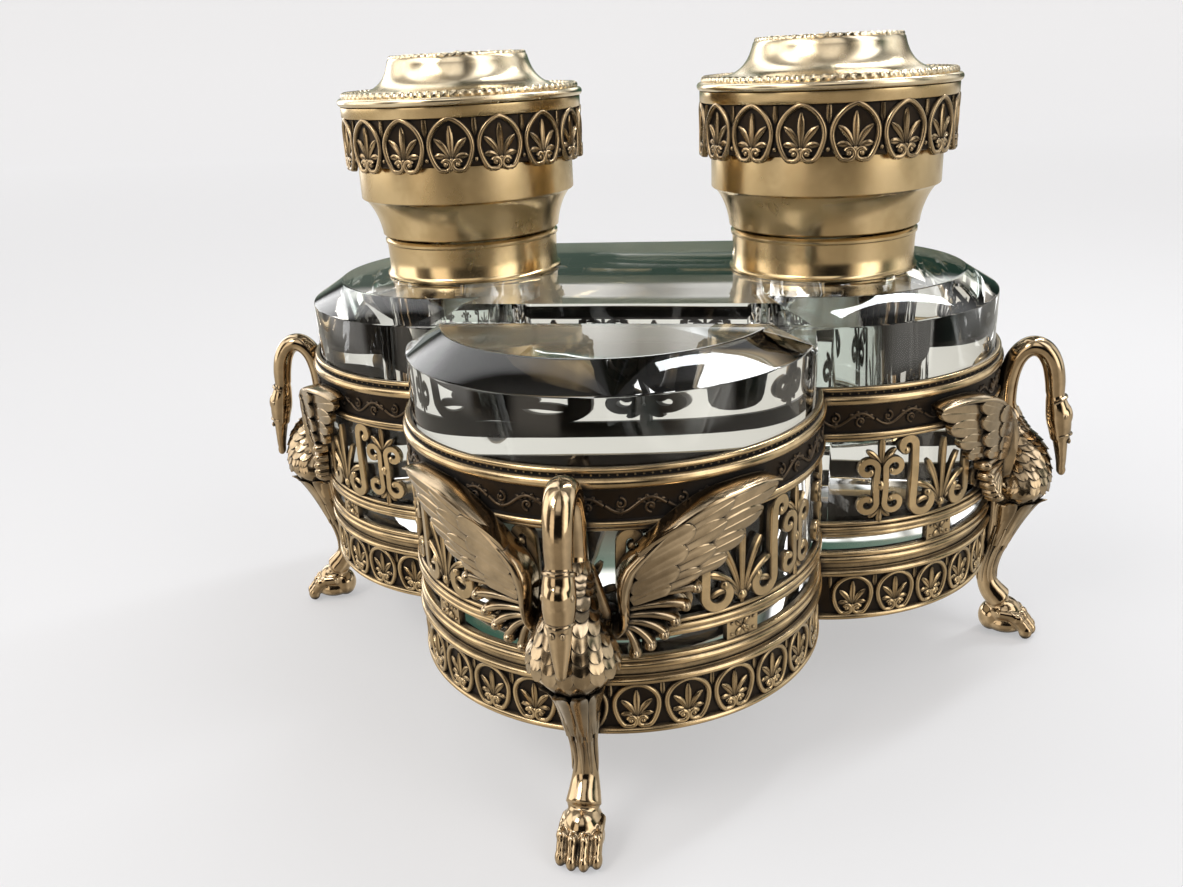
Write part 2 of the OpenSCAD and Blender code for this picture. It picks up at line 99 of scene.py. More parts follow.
class Shape:
    """Collects vertices (in mm) and faces, and becomes one Blender mesh."""

    def __init__(self):
        self.verts, self.faces, self.count = [], [], 0

    def add(self, verts, faces):
        verts = np.asarray(verts, float).reshape(-1, 3)
        self.verts.append(verts)
        self.faces += [tuple(int(i) + self.count for i in f) for f in faces]
        self.count += len(verts)
        return self

    def join(self, *others):
        for other in others:
            self.verts += other.verts
            self.faces += [tuple(i + self.count for i in f) for f in other.faces]
            self.count += other.count
        return self

    def moved(self, function):
        """A copy with every vertex array passed through function."""
        copy = Shape()
        copy.verts = [function(np.concatenate(self.verts))] if self.verts else []
        copy.faces, copy.count = list(self.faces), self.count
        return copy

    def mesh(self, name):
        mesh = bpy.data.meshes.new(name)
        mesh.from_pydata((np.concatenate(self.verts) * MM).tolist(), [], self.faces)
        return mesh


SHARP = math.radians(40)


def soften(mesh, sharp=SHARP):
    """Outward normals, smooth faces, and sharp edges where two faces meet at more than an angle."""
    bm = bmesh.new()
    bm.from_mesh(mesh)
    bmesh.ops.recalc_face_normals(bm, faces=bm.faces)
    for face in bm.faces:
        face.smooth = True
    for edge in bm.edges:
        if len(edge.link_faces) == 2:
            edge.smooth = edge.calc_face_angle(0) < sharp
    bm.to_mesh(mesh)
    bm.free()


def piece(name, source, material, body, slot, *nodes, sharp=SHARP):
    """Makes the Blender object of a shape (or takes a mesh), and says what it rides on and stands for."""
    mesh = source.mesh(name) if isinstance(source, Shape) else source
    soften(mesh, sharp)
    obj = bpy.data.objects.new(name, mesh)
    bpy.context.collection.objects.link(obj)
    mesh.materials.clear()
    mesh.materials.append(material)
    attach(obj, body)
    if nodes:
        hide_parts(*nodes)
    return obj


def darken_ground(obj, low_z, high_z):
    """Gives the sunk ground of a wall, between two heights, the dark finish."""
    obj.data.materials.append(GROUND_PATINA)
    for polygon in obj.data.polygons:
        if low_z < polygon.center.z / MM < high_z:
            polygon.material_index = 1


def grid_faces(rows, cols, wrap_rows=False, wrap_cols=False):
    faces = []
    for i in range(rows if wrap_rows else rows - 1):
        for j in range(cols if wrap_cols else cols - 1):
            a, b = i * cols + j, i * cols + (j + 1) % cols
            c, d = ((i + 1) % rows) * cols + (j + 1) % cols, ((i + 1) % rows) * cols + j
            faces.append((a, b, c, d))
    return faces


def arc(cx, cz, radius, a0, a1, n=8):
    """Points of an arc, angles in degrees from +x."""
    a = np.radians(np.linspace(a0, a1, n))
    return [(cx + radius * math.cos(t), cz + radius * math.sin(t)) for t in a]


def bezier(points, n, skip_first=False):
    p = np.array(points, float)
    t = np.linspace(0, 1, n + 1)[1 if skip_first else 0:, None]
    u = 1 - t
    return p[0] * u ** 3 + 3 * p[1] * u * u * t + 3 * p[2] * u * t * t + p[3] * t ** 3


# ---------------------------------------------------------------- the lobed outline

MEET = np.array([LOBE_X / 2, (REAR_Y + FRONT_Y) / 2])
HALF_SPAN = math.hypot(LOBE_X / 2, (REAR_Y - FRONT_Y) / 2)
MEET_DIR = np.array([REAR_Y - FRONT_Y, -LOBE_X]) / math.hypot(REAR_Y - FRONT_Y, LOBE_X)


def cusp_turns(r):
    """Turns (radians from the front) at which a lobe of radius r meets its neighbour: side lobe, front
    lobe."""
    p = MEET + math.sqrt(r * r - HALF_SPAN ** 2) * MEET_DIR
    return (math.atan2(p[0] - LOBE_X, REAR_Y - p[1]), math.atan2(p[0], FRONT_Y - p[1]))


def around(r, n=72, n_back=24):
    """Closed loop of points at radius r: left lobe, front lobe, right lobe, then the straight back."""
    side, front = cusp_turns(r)
    points = []
    for lobe, a0, a1 in ((LEFT, -math.pi, -side), (FRONT, -front, front), (RIGHT, side, math.pi)):
        steps = n if lobe else int(n * 1.25)
        turns = np.linspace(a0, a1, steps + 1)[:-1]
        cx, cy = CENTRES[lobe]
        points.append(np.stack([cx + r * np.sin(turns), cy - r * np.cos(turns)], 1))
    x = np.linspace(LOBE_X, -LOBE_X, n_back + 1)[:-1]
    points.append(np.stack([x, np.full(len(x), REAR_Y + r)], 1))
    return np.concatenate(points)


def moulding(profile, n=72, closed=True):
    """A profile of (radius, height) points swept all round the outline, mitred at the cusps."""
    shape = Shape()
    loops = [np.insert(around(r, n), 2, z, axis=1) for r, z in profile]
    rows, cols = len(loops[0]), len(profile)
    verts = np.stack(loops, 1).reshape(-1, 3)
    return shape.add(verts, grid_faces(rows, cols, True, closed))


def on_lobe(lobe, turn, radius):
    """Wraps wall coordinates (along, up, out) on a lobe's wall, centred at turn degrees from the front."""
    cx, cy = CENTRES[lobe]

    def wrap(p):
        a = math.radians(turn) + p[:, 0] / radius
        r = radius + p[:, 2]
        return np.stack([cx + r * np.sin(a), cy - r * np.cos(a), p[:, 1]], 1)
    return wrap


def on_back(x, radius):
    """The same on the straight back, centred at x."""
    def wrap(p):
        return np.stack([x - p[:, 0], REAR_Y + radius + p[:, 2], p[:, 1]], 1)
    return wrap


def on_well(side, turn, radius):
    """The same on a round wall about a well's axis."""
    def wrap(p):
        a = math.radians(turn) + p[:, 0] / radius
        r = radius + p[:, 2]
        return np.stack([side * WELL_X + r * np.sin(a), WELL_Y - r * np.cos(a), p[:, 1]], 1)
    return wrap


# ---------------------------------------------------------------- relief: ribbons and leaves

ROUND_SECTION = [(-1, 0), (-0.93, 0.42), (-0.7, 0.78), (-0.36, 0.96), (0, 1),
                 (0.36, 0.96), (0.7, 0.78), (0.93, 0.42), (1, 0)]
FLAT_SECTION = [(-1, 0), (-0.97, 0.7), (-0.8, 1), (0, 1), (0.8, 1), (0.97, 0.7), (1, 0)]
RIDGE_SECTION = [(-1, 0), (-0.9, 0.42), (-0.55, 0.62), (-0.22, 0.68), (0, 1),
                 (0.22, 0.68), (0.55, 0.62), (0.9, 0.42), (1, 0)]

def ribbon(path, width, relief, section=ROUND_SECTION, depth=0.4, base=0.0):
    """A strip along a path on the wall: half width and relief along it, sunk into the wall by depth."""
    path = np.asarray(path, float)
    n = len(path)
    width = np.broadcast_to(np.asarray(width, float), (n,))
    relief = np.broadcast_to(np.asarray(relief, float), (n,))
    base = np.broadcast_to(np.asarray(base, float), (n,))
    run = np.gradient(path, axis=0)
    run /= np.maximum(np.linalg.norm(run, axis=1, keepdims=True), 1e-9)
    across = np.stack([-run[:, 1], run[:, 0]], 1)
    section = np.array(section)
    cols = len(section) + 2
    verts = np.zeros((n, cols, 3))
    for j, (u, h) in enumerate(section):
        verts[:, j, :2] = path - across * (u * width)[:, None]
        verts[:, j, 2] = base + relief * h
    for j, u in ((cols - 2, 1), (cols - 1, -1)):
        verts[:, j, :2] = path - across * (u * width)[:, None]
        verts[:, j, 2] = base - depth
    shape = Shape()
    faces = grid_faces(n, cols, False, True)
    faces.append(tuple(range(cols)))
    faces.append(tuple((n - 1) * cols + j for j in reversed(range(cols))))
    return shape.add(verts, faces)


def leaf(base, angle, length, width, relief, bend=0.0, n=11, fullest=0.62, depth=0.4, stem=0.22, lift=0.0):
    """A leaf from base, leaning angle degrees from upright (positive to the right), bending as it goes."""
    t = np.linspace(0, 1, n)
    lean = np.radians(angle + bend * t)
    step = length / (n - 1)
    dx, dz = np.sin(lean) * step, np.cos(lean) * step
    path = np.stack([base[0] + np.concatenate([[0], np.cumsum((dx[1:] + dx[:-1]) / 2)]),
                     base[1] + np.concatenate([[0], np.cumsum((dz[1:] + dz[:-1]) / 2)])], 1)
    rise = np.where(t < fullest, stem + (1 - stem) * np.sin(t / fullest * math.pi / 2) ** 1.5,
                    np.sqrt(np.maximum(1 - ((t - fullest) / (1.02 - fullest)) ** 2, 0)))
    return ribbon(path, width * rise, relief * (0.55 + 0.45 * rise), RIDGE_SECTION, depth, base=lift * t)


def boss(x, z, radius, relief, n=14, rings=4, depth=0.3):
    """A round raised button."""
    verts, faces = [], []
    levels = [(1.0, -depth)] + [(math.cos(a), relief * math.sin(a)) for a in
                                np.linspace(0, math.pi / 2 * 0.94, rings + 1)]
    for scale, h in levels:
        for k in range(n):
            a = TAU * k / n
            verts.append((x + radius * scale * math.cos(a), z + radius * scale * math.sin(a), h))
    rows = len(levels)
    faces = grid_faces(rows, n, False, True)
    faces.append(tuple(range(n)))
    faces.append(tuple((rows - 1) * n + k for k in range(n)))
    return Shape().add(verts, faces)


def spiral(cx, cz, r0, r1, a0, a1, n=22):
    """Points of a spiral about a centre, radius from r0 to r1, angle in degrees."""
    t = np.linspace(0, 1, n)
    a = np.radians(a0 + (a1 - a0) * t)
    r = r0 + (r1 - r0) * t ** 0.85
    return np.stack([cx + r * np.cos(a), cz + r * np.sin(a)], 1)


def mirrored(path):
    return np.asarray(path) * np.array([-1, 1])


# ---------------------------------------------------------------- materials


class Tree:
    """A node tree with short calls. Numbers are set on a node's own sockets, anything else is linked."""

    def __init__(self, tree):
        self.nodes, self.links = tree.nodes, tree.links

    def node(self, kind, **sockets):
        node = self.nodes.new("ShaderNode" + kind)
        for name, value in sockets.items():
            self.put(node.inputs[name.replace("_", " ")], value)
        return node

    def put(self, socket, value):
        if isinstance(value, bpy.types.NodeSocket):
            self.links.new(value, socket)
        elif isinstance(value, tuple) and socket.type == "RGBA":
            socket.default_value = (*value, 1)
        else:
            socket.default_value = value

    def coords(self, kind="Object"):
        return self.node("TexCoord").outputs[kind]

    def noise(self, coords, scale, detail=6.0, rough=0.55, stretch=None):
        if stretch:
            coords = self.node("Mapping", Vector=coords, Scale=stretch).outputs["Vector"]
        return self.node("TexNoise", Vector=coords, Scale=scale, Detail=detail,
                         Roughness=rough).outputs["Fac"]

    def ramp(self, factor, stops):
        """Colour ramp: stops are (position, (r, g, b)) or (position, value)."""
        node = self.node("ValToRGB", Fac=factor)
        elements = node.color_ramp.elements
        while len(elements) < len(stops):
            elements.new(0.5)
        for element, (position, value) in zip(elements, stops):
            element.position = position
            element.color = (*(value if isinstance(value, tuple) else (value,) * 3), 1)
        return node.outputs["Color"]

    def mix(self, factor, a, b, blend="MIX"):
        node = self.nodes.new("ShaderNodeMix")
        node.data_type = "RGBA"
        node.blend_type = blend
        for key, value in (("Factor", factor), ("A", a), ("B", b)):
            self.put([s for s in node.inputs if s.name == key and s.enabled][0], value)
        return [s for s in node.outputs if s.enabled][0]

    def math(self, operation, *values):
        node = self.nodes.new("ShaderNodeMath")
        node.operation = operation
        for socket, value in zip(node.inputs, values):
            self.put(socket, value)
        return node.outputs["Value"]

    def scaled(self, value, from_low, from_high, to_low, to_high):
        return self.node("MapRange", Value=value, From_Min=from_low, From_Max=from_high,
                         To_Min=to_low, To_Max=to_high).outputs["Result"]

    def bump(self, height, strength, distance):
        return self.node("Bump", Height=height, Strength=strength, Distance=distance * MM).outputs["Normal"]


def new_material(name):
    """An empty material: its tree, object coordinates and one Principled shader."""
    material = bpy.data.materials.new(name)
    material.use_nodes = True
    material.node_tree.nodes.clear()
    tree = Tree(material.node_tree)
    shader = tree.node("BsdfPrincipled")
    tree.node("OutputMaterial", Surface=shader.outputs["BSDF"])
    return material, tree, tree.coords(), shader.inputs


def gilt(name, bright, dark, rough, low, high, bump=0.12, reach=2.4):
    """Old gilt brass: warm metal, darkened in the recesses by the ambient occlusion as brown-black patina and
    painted shade together, and left bright on open faces and edges.
    """
    material, tree, coords, shader = new_material(name)
    # painted shade and patina: the colour darkens where the surface is hemmed in, which the occlusion gives
    # as 0 to 1 here
    hollow = tree.node("AmbientOcclusion", Distance=reach * MM)
    hollow.samples = 8
    clouds = tree.noise(coords, 260.0)
    fine = tree.noise(coords, 900.0, 8.0, 0.65)
    openness = tree.math("MULTIPLY_ADD", clouds, 0.22, hollow.outputs["AO"])
    patina_and_shade = tree.ramp(openness, [(low, 1.0), (high, 0.0)])
    tone = tree.ramp(clouds, [(0.3, tuple(0.66 * c for c in bright)), (0.68, bright)])
    # the hollows take the dark colour: patina with painted shade
    tree.put(shader["Base Color"], tree.mix(patina_and_shade, tone, dark))
    # the darkened hollows, patina and painted shade alike, are matt; the open metal is not
    tree.put(shader["Metallic"], tree.scaled(patina_and_shade, 0.0, 1.0, 1.0, 0.35))
    roughness = tree.math("MULTIPLY_ADD", patina_and_shade, 0.3, rough - 0.08)
    tree.put(shader["Roughness"], tree.math("MULTIPLY_ADD", fine, 0.16, roughness))
    tree.put(shader["Normal"], tree.bump(fine, bump, 0.1))
    return material


def polished(name, colour, deep, rough):
    """Polished brass: clear reflections, faint turned lines and tarnish clouds."""
    material, tree, coords, shader = new_material(name)
    shader["Metallic"].default_value = 1.0
    clouds = tree.noise(coords, 110.0, 5.0, 0.6)
    lines = tree.noise(coords, 1.0, 4.0, 0.6, (60.0, 60.0, 900.0))
    tree.put(shader["Base Color"], tree.ramp(clouds, [(0.3, deep), (0.62, colour)]))
    tree.put(shader["Roughness"], tree.scaled(clouds, 0.3, 0.6, rough + 0.12, rough - 0.03))
    tree.put(shader["Normal"], tree.bump(lines, 0.03, 0.05))
    return material


def crystal_material(name, tint, rough=0.0):
    """Clear cut crystal with the faintest ripple of a hand-polished face."""
    material, tree, coords, shader = new_material(name)
    tree.put(shader["Base Color"], tint)
    shader["Transmission Weight"].default_value = 1.0
    shader["IOR"].default_value = 1.45
    ripple = tree.noise(coords, 90.0, 2.0, 0.4)
    smears = tree.noise(coords, 300.0, 5.0, 0.6)
    tree.put(shader["Roughness"], tree.scaled(smears, 0.45, 0.75, rough, rough + 0.05))
    tree.put(shader["Normal"], tree.bump(ripple, 0.04, 0.3))
    return material


# near black of the hollows, and the second colour of each gilt below: patina with painted shade
HOLLOW_PATINA_AND_SHADE = (0.014, 0.010, 0.007)
GALLERY_GILT = gilt("gallery_gilt", (0.66, 0.49, 0.28), (0.020, 0.013, 0.008), 0.19, 0.66, 1.02, 0.08)
FEATHER_GILT = gilt("feather_gilt", (0.52, 0.40, 0.26), (0.010, 0.008, 0.006), 0.18, 0.66, 0.98, 0.06, 1.1)
SWAN_GILT = gilt("swan_gilt", (0.60, 0.45, 0.28), HOLLOW_PATINA_AND_SHADE, 0.11, 0.64, 0.96, 0.04, 2.2)
BAND_GILT = gilt("band_gilt", (0.50, 0.37, 0.22), HOLLOW_PATINA_AND_SHADE, 0.24, 0.68, 1.02, 0.10, 1.2)
DARK_GILT = gilt("dark_gilt", (0.14, 0.10, 0.065), (0.010, 0.007, 0.005), 0.3, 0.6, 1.1)
GROUND_PATINA = gilt("ground_patina", (0.045, 0.032, 0.022), (0.006, 0.004, 0.003), 0.42, 0.7, 1.2, 0.5)
# the floor plate's gilt is made far paler than the rest: painted light for the light that comes into the
# closed gallery through the crystal and openwork
PALE_PLATE_PAINTED_LIGHT = gilt("plate_gilt_painted_light", (0.86, 0.80, 0.70), (0.5, 0.45, 0.36), 0.34, 0.62, 0.99, reach=1.0)
DRUM_BRASS = polished("drum_brass", (0.74, 0.57, 0.33), (0.56, 0.41, 0.21), 0.19)
CAP_BRASS = polished("cap_brass", (0.86, 0.75, 0.55), (0.72, 0.58, 0.38), 0.2)
PIN_BRASS = polished("pin_brass", (0.66, 0.50, 0.28), (0.40, 0.28, 0.14), 0.22)
CRYSTAL = crystal_material("cut_crystal", (0.975, 0.99, 0.98))
LINER_GLASS = crystal_material("liner_glass", (0.93, 0.97, 0.96), 0.02)

# ---------------------------------------------------------------- gallery: rails, rim, frieze and skirt


def bead(r, z, size, a0=-90, a1=90, n=9):
    """Outline points of a half-round bead on a wall."""
    return arc(r, z, size, a0, a1, n)


def gallery_piece(name, source, *nodes, material=GALLERY_GILT):
    return piece(name, source, material, "gallery", "antique_gilt", *nodes)


def ring_wall(outside, r_in=INNER_R):
    """Moulding profile: the given outer points closed by a plain inner wall."""
    return [(r_in, outside[0][1])] + list(outside) + [(r_in, outside[-1][1])]


def build_rim():
    outside = ([(WALL_R - 0.5, RIM_Z - 0.05)] + bead(WALL_R - 0.55, RIM_Z + 0.85, 0.92, -80, 75, 12)
               + [(WALL_R - 0.55, RIM_Z + 1.85), (WALL_R - 0.75, RIM_Z + 1.95), (WALL_R - 0.75, RIM_Z + 2.3)]
               + bead(WALL_R - 0.7, RIM_Z + 2.8, 0.48, -75, 110, 10))
    rim = moulding(ring_wall(outside), 110)
    obj = gallery_piece("rim_moulding", rim, "gallery_rim")
    darken_ground(obj, RIM_Z + 1.78, RIM_Z + 2.34)
    # stippled dots in the channel between the two fillets
    dots = Shape()
    for x, y in around(WALL_R - 0.74, 150, 60)[::2]:
        dots.add(*small_ball((x, y, RIM_Z + 2.1), 0.24, 6, 4))
    gallery_piece("rim_stipple", dots)


def small_ball(centre, radius, n=8, rings=5):
    """Vertices and faces of a ball."""
    verts, faces = [(centre[0], centre[1], centre[2] - radius)], []
    for i in range(1, rings):
        a = math.pi * i / rings
        for k in range(n):
            b = TAU * k / n
            verts.append((centre[0] + radius * math.sin(a) * math.cos(b),
                          centre[1] + radius * math.sin(a) * math.sin(b),
                          centre[2] - radius * math.cos(a)))
    verts.append((centre[0], centre[1], centre[2] + radius))
    for k in range(n):
        faces.append((0, 1 + (k + 1) % n, 1 + k))
        faces.append((len(verts) - 1, 1 + (rings - 2) * n + k, 1 + (rings - 2) * n + (k + 1) % n))
    for i in range(rings - 2):
        for k in range(n):
            a, b = 1 + i * n + k, 1 + i * n + (k + 1) % n
            faces.append((a, b, b + n, a + n))
    return verts, faces


def wall_spots(step, r):
    """Wraps at even steps along the outline at radius r, for a repeated ornament."""
    side, front = cusp_turns(r)
    spots = []
    n = int(2 * front * r / step)
    for k in range(n):
        turn = math.degrees(-front + (k + 0.5) * 2 * front / n)
        spots.append(on_lobe(FRONT, turn, r))
    m = int((math.pi - side) * r / step)
    for lobe in (LEFT, RIGHT):
        for k in range(m):
            turn = math.degrees(side + (k + 0.5) * (math.pi - side) / m)
            spots.append(on_lobe(lobe, lobe * turn, r))
    b = int(2 * LOBE_X / step)
    for k in range(b):
        spots.append(on_back(-LOBE_X + (k + 0.5) * 2 * LOBE_X / b, r))
    return spots


def build_frieze():
    z0 = PANEL_TOP
    outside = ([(WALL_R - 0.1, z0 - 0.02)] + bead(WALL_R - 0.15, z0 + 0.52, 0.5, -80, 90, 9)
               + [(WALL_R - 0.45, z0 + 1.2), (WALL_R - 0.45, RIM_Z + 0.1)])
    wall = moulding(ring_wall(outside), 100)
    obj = gallery_piece("frieze_wall", wall, "gallery_frieze")
    darken_ground(obj, z0 + 1.0, RIM_Z + 0.2)
    # low running vine: a wave with a curl, three leaves and a berry in every bend
    unit = Shape()
    half, mid = 4.6, z0 + 3.45
    s = np.linspace(-half, half, 19)
    unit.join(ribbon(np.stack([s, mid + 1.15 * np.sin(s / half * math.pi)], 1), 0.3, 0.42))
    for sign in (-1, 1):
        x = sign * half / 2
        z = mid - sign * 0.35
        unit.join(ribbon(spiral(x, z, 1.0, 0.35, 90 * sign + 180, 90 * sign - 150, 14), 0.24, 0.42))
        unit.join(boss(x, z, 0.42, 0.45, 8, 3))
        for lean in (-62, -20, 24, 66):
            unit.join(leaf((x + 0.012 * lean, z + 0.55 * sign), lean if sign > 0 else 180 + lean,
                                1.5, 0.42, 0.4, 10, n=7))
    vine = Shape()
    for wrap in wall_spots(2 * half, WALL_R - 0.45):
        vine.join(unit.moved(wrap))
    gallery_piece("frieze_vine", vine, material=DARK_GILT)


def build_rails():
    z0 = LEDGE_Z
    foot = ([(INNER_R + 0.7, z0 - 0.02), (INNER_R + 0.7, z0 + 0.9), (INNER_R + 0.95, z0 + 1.1)]
            + bead(WALL_R - 0.3, z0 + 1.75, 0.62, -75, 70, 8)
            + bead(WALL_R - 0.45, z0 + 2.85, 0.5, -60, 90, 8))
    top = ([(WALL_R - 0.35, RAIL_TOP - 1.95)] + bead(WALL_R - 0.2, RAIL_TOP - 1.5, 0.5, -80, 60, 8)
           + bead(WALL_R - 0.2, RAIL_TOP - 0.5, 0.5, -60, 85, 8))
    rails = moulding(ring_wall(foot), 100).join(moulding(ring_wall(top), 100))
    # small blocks with a crossed flower join the two rails under every lyre
    block = ribbon(np.array([(-3.1, z0 + 5.1), (3.1, z0 + 5.1)]), 2.15, 0.25, FLAT_SECTION, 1.0)
    for k in range(4):
        block.join(leaf((0, z0 + 5.1), 45 + 90 * k, 1.9, 0.62, 0.62, n=9))
        block.join(boss(2.2 * (1 if k % 2 else -1), z0 + 5.1 + 1.0 * (1 if k > 1 else -1), 0.34, 0.5, 8, 3))
    block.join(boss(0, z0 + 5.1, 0.5, 0.8, 10, 3))
    for lobe in (FRONT, LEFT, RIGHT):
        for turn in lyre_turns(lobe):
            rails.join(block.moved(on_lobe(lobe, turn, WALL_R - 0.5)))
    for k in (-1, 0, 1):
        rails.join(block.moved(on_back(k * BACK_STEP, WALL_R - 0.5)))
    gallery_piece("lower_rails", rails, "lower_rail")


LYRE_STEP = 42.0
BACK_STEP = 2 * LOBE_X / 3


def lyre_turns(lobe):
    if lobe == FRONT:
        return [-LYRE_STEP, 0, LYRE_STEP]
    return [lobe * (90 - SWAN_TURN + k * LYRE_STEP) for k in (-1, 0, 1)]


def between_turns(lobe):
    if lobe == FRONT:
        return [k * LYRE_STEP for k in (-2, -1.5, -0.5, 0.5, 1.5, 2)]
    return [lobe * (90 - SWAN_TURN + k * LYRE_STEP) for k in (-1.5, -0.5, 0.5, 1.5, 2.07)]


def lyre():
    """A lyre of two flat ribbons, hooked in at the foot and out at the head, round a seven-leaf palmette."""
    shape = Shape()
    head = spiral(8.55, 15.1, 1.55, 1.0, 180, -75, 16)
    side = bezier([(7.0, 15.1), (6.75, 11.5), (6.8, 8), (6.95, 3.9)], 12, True)
    foot = spiral(4.5, 3.5, 2.5, 1.75, 0, -228, 22)
    path = np.concatenate([head[::-1], side, foot[1:]]) + np.array([0, RAIL_TOP])
    n = len(path)
    ends = np.minimum(np.arange(n), np.arange(n)[::-1])
    width = 0.88 - 0.22 * np.exp(-ends / 3.0)
    for line in (path, mirrored(path)):
        shape.join(ribbon(line, width, 0.62, FLAT_SECTION, 0.5))
        for end in (line[0], line[-1]):
            shape.join(boss(end[0], end[1], 0.95, 0.8, 12, 3, 0.5))
    z = RAIL_TOP
    shape.join(leaf((0, z + 0.9), 0, 14.2, 0.72, 0.75, n=16, fullest=0.8, depth=0.5, stem=0.55))
    for lean, bend, length, width in ((7, 26, 10.6, 0.66), (14, 66, 8.6, 0.62), (24, 104, 6.8, 0.6)):
        for sign in (-1, 1):
            shape.join(leaf((sign * 0.35, z + 1.6), sign * lean, length, width, 0.65, sign * bend,
                                 n=14, fullest=0.84, depth=0.5, stem=0.45))
    shape.join(boss(0, z + 2.2, 1.05, 0.85, 12, 3, 0.5))
    return shape


def scroll_pair():
    """Two open scrolls back to back, a bud above and below."""
    shape = Shape()
    z = RAIL_TOP
    head = spiral(2.55, 11.3, 1.8, 0.95, 180, -130, 20)
    foot = spiral(2.55, 4.3, 1.8, 0.95, 180, 490, 20)
    stem = bezier([(0.75, 11.3), (0.95, 9), (0.95, 6.6), (0.75, 4.3)], 8, True)
    path = np.concatenate([head[::-1], stem, foot[1:]]) + np.array([0, z])
    for line in (path, mirrored(path)):
        shape.join(ribbon(line, 0.66, 0.6, FLAT_SECTION, 0.5))
        for end in (line[0], line[-1]):
            shape.join(boss(end[0], end[1], 0.75, 0.75, 10, 3, 0.5))
    shape.join(boss(0, z + 7.8, 1.15, 0.85, 12, 3, 0.5))
    for lean in (-34, 0, 34):
        length = 5.6 if lean == 0 else 4.0
        shape.join(leaf((0, z + 11.9), lean, length, 0.62, 0.65, lean * 0.6, n=10, depth=0.5, stem=0.5))
        shape.join(leaf((0, z + 3.6), 180 + lean, 0.72 * length, 0.6, 0.6, lean * 0.6,
                        n=10, depth=0.5, stem=0.5))
    return shape


def build_panels():
    r = INNER_R + 0.5
    motif, between = lyre(), scroll_pair()
    for lobe in (FRONT, LEFT, RIGHT):
        panel = Shape()
        for turn in lyre_turns(lobe):
            panel.join(motif.moved(on_lobe(lobe, turn, r)))
        for turn in between_turns(lobe):
            panel.join(between.moved(on_lobe(lobe, turn, r)))
        side, front = cusp_turns(WALL_R)
        span = (-front, front) if lobe == FRONT else (lobe * side, lobe * math.pi)
        for z in (RAIL_TOP + 0.35, PANEL_TOP - 0.35):
            s = np.linspace(span[0], span[1], 90) * r
            strip = ribbon(np.stack([s, np.full(90, z)], 1), 0.45, 0.55, ROUND_SECTION, 0.5)
            panel.join(strip.moved(on_lobe(lobe, 0, r)))
        name = "openwork_" + SIDE_NAMES[lobe]
        gallery_piece(name, panel, "scroll_panel_" + SIDE_NAMES[lobe])
    panel = Shape()
    narrow = between.moved(lambda p: p * np.array([0.66, 1, 1]))
    for k in (-1, 0, 1):
        panel.join(motif.moved(on_back(k * BACK_STEP, r)))
        if k:
            panel.join(narrow.moved(on_back(k * BACK_STEP / 2, r)))
    for z in (RAIL_TOP + 0.35, PANEL_TOP - 0.35):
        strip = ribbon(np.array([(-LOBE_X, z), (LOBE_X, z)]), 0.45, 0.55, ROUND_SECTION, 0.5)
        panel.join(strip.moved(on_back(0, r)))
    gallery_piece("openwork_back", panel, "scroll_panel_back")


def palmette_arch(w, h, point=0.0, ribbon_w=0.45, relief=0.7):
    """A horseshoe ribbon with two small volutes at its foot and a five-leaf palmette in it.

    w is the half width, h the height, point how far the top is drawn up to a point.
    """
    shape = Shape()
    top = h - w - point
    curl = spiral(0.28 * w, 0.26 * w, 0.32 * w, 0.16 * w, -60, -330, 12)
    out = bezier([tuple(curl[0]), (0.62 * w, -0.12 * w), (w, 0.25 * h), (w, top)], 9, True)
    over = bezier([(w, top), (w, top + 0.62 * w), (0.42 * w, h - 0.35 * point), (0, h)], 9, True)
    path = np.concatenate([curl[::-1], out, over])
    path = np.concatenate([path, mirrored(path)[::-1][1:]])
    shape.join(ribbon(path, ribbon_w, relief, ROUND_SECTION))
    shape.join(leaf((0, 0.16 * h), 0, 0.7 * h, 0.16 * w, relief, n=11, stem=0.5))
    for sign in (-1, 1):
        shape.join(leaf((sign * 0.06 * w, 0.2 * h), sign * 15, 0.52 * h, 0.155 * w, relief * 0.9,
                        sign * 42, n=9, stem=0.5))
        shape.join(leaf((sign * 0.06 * w, 0.17 * h), sign * 38, 0.36 * h, 0.145 * w, relief * 0.8,
                        sign * 72, n=9, stem=0.5))
        shape.join(boss(sign * 0.27 * w, 0.26 * w, 0.17 * w, relief, 9, 3))
    shape.join(boss(0, 0.2 * h, 0.13 * w, relief, 8, 3))
    return shape


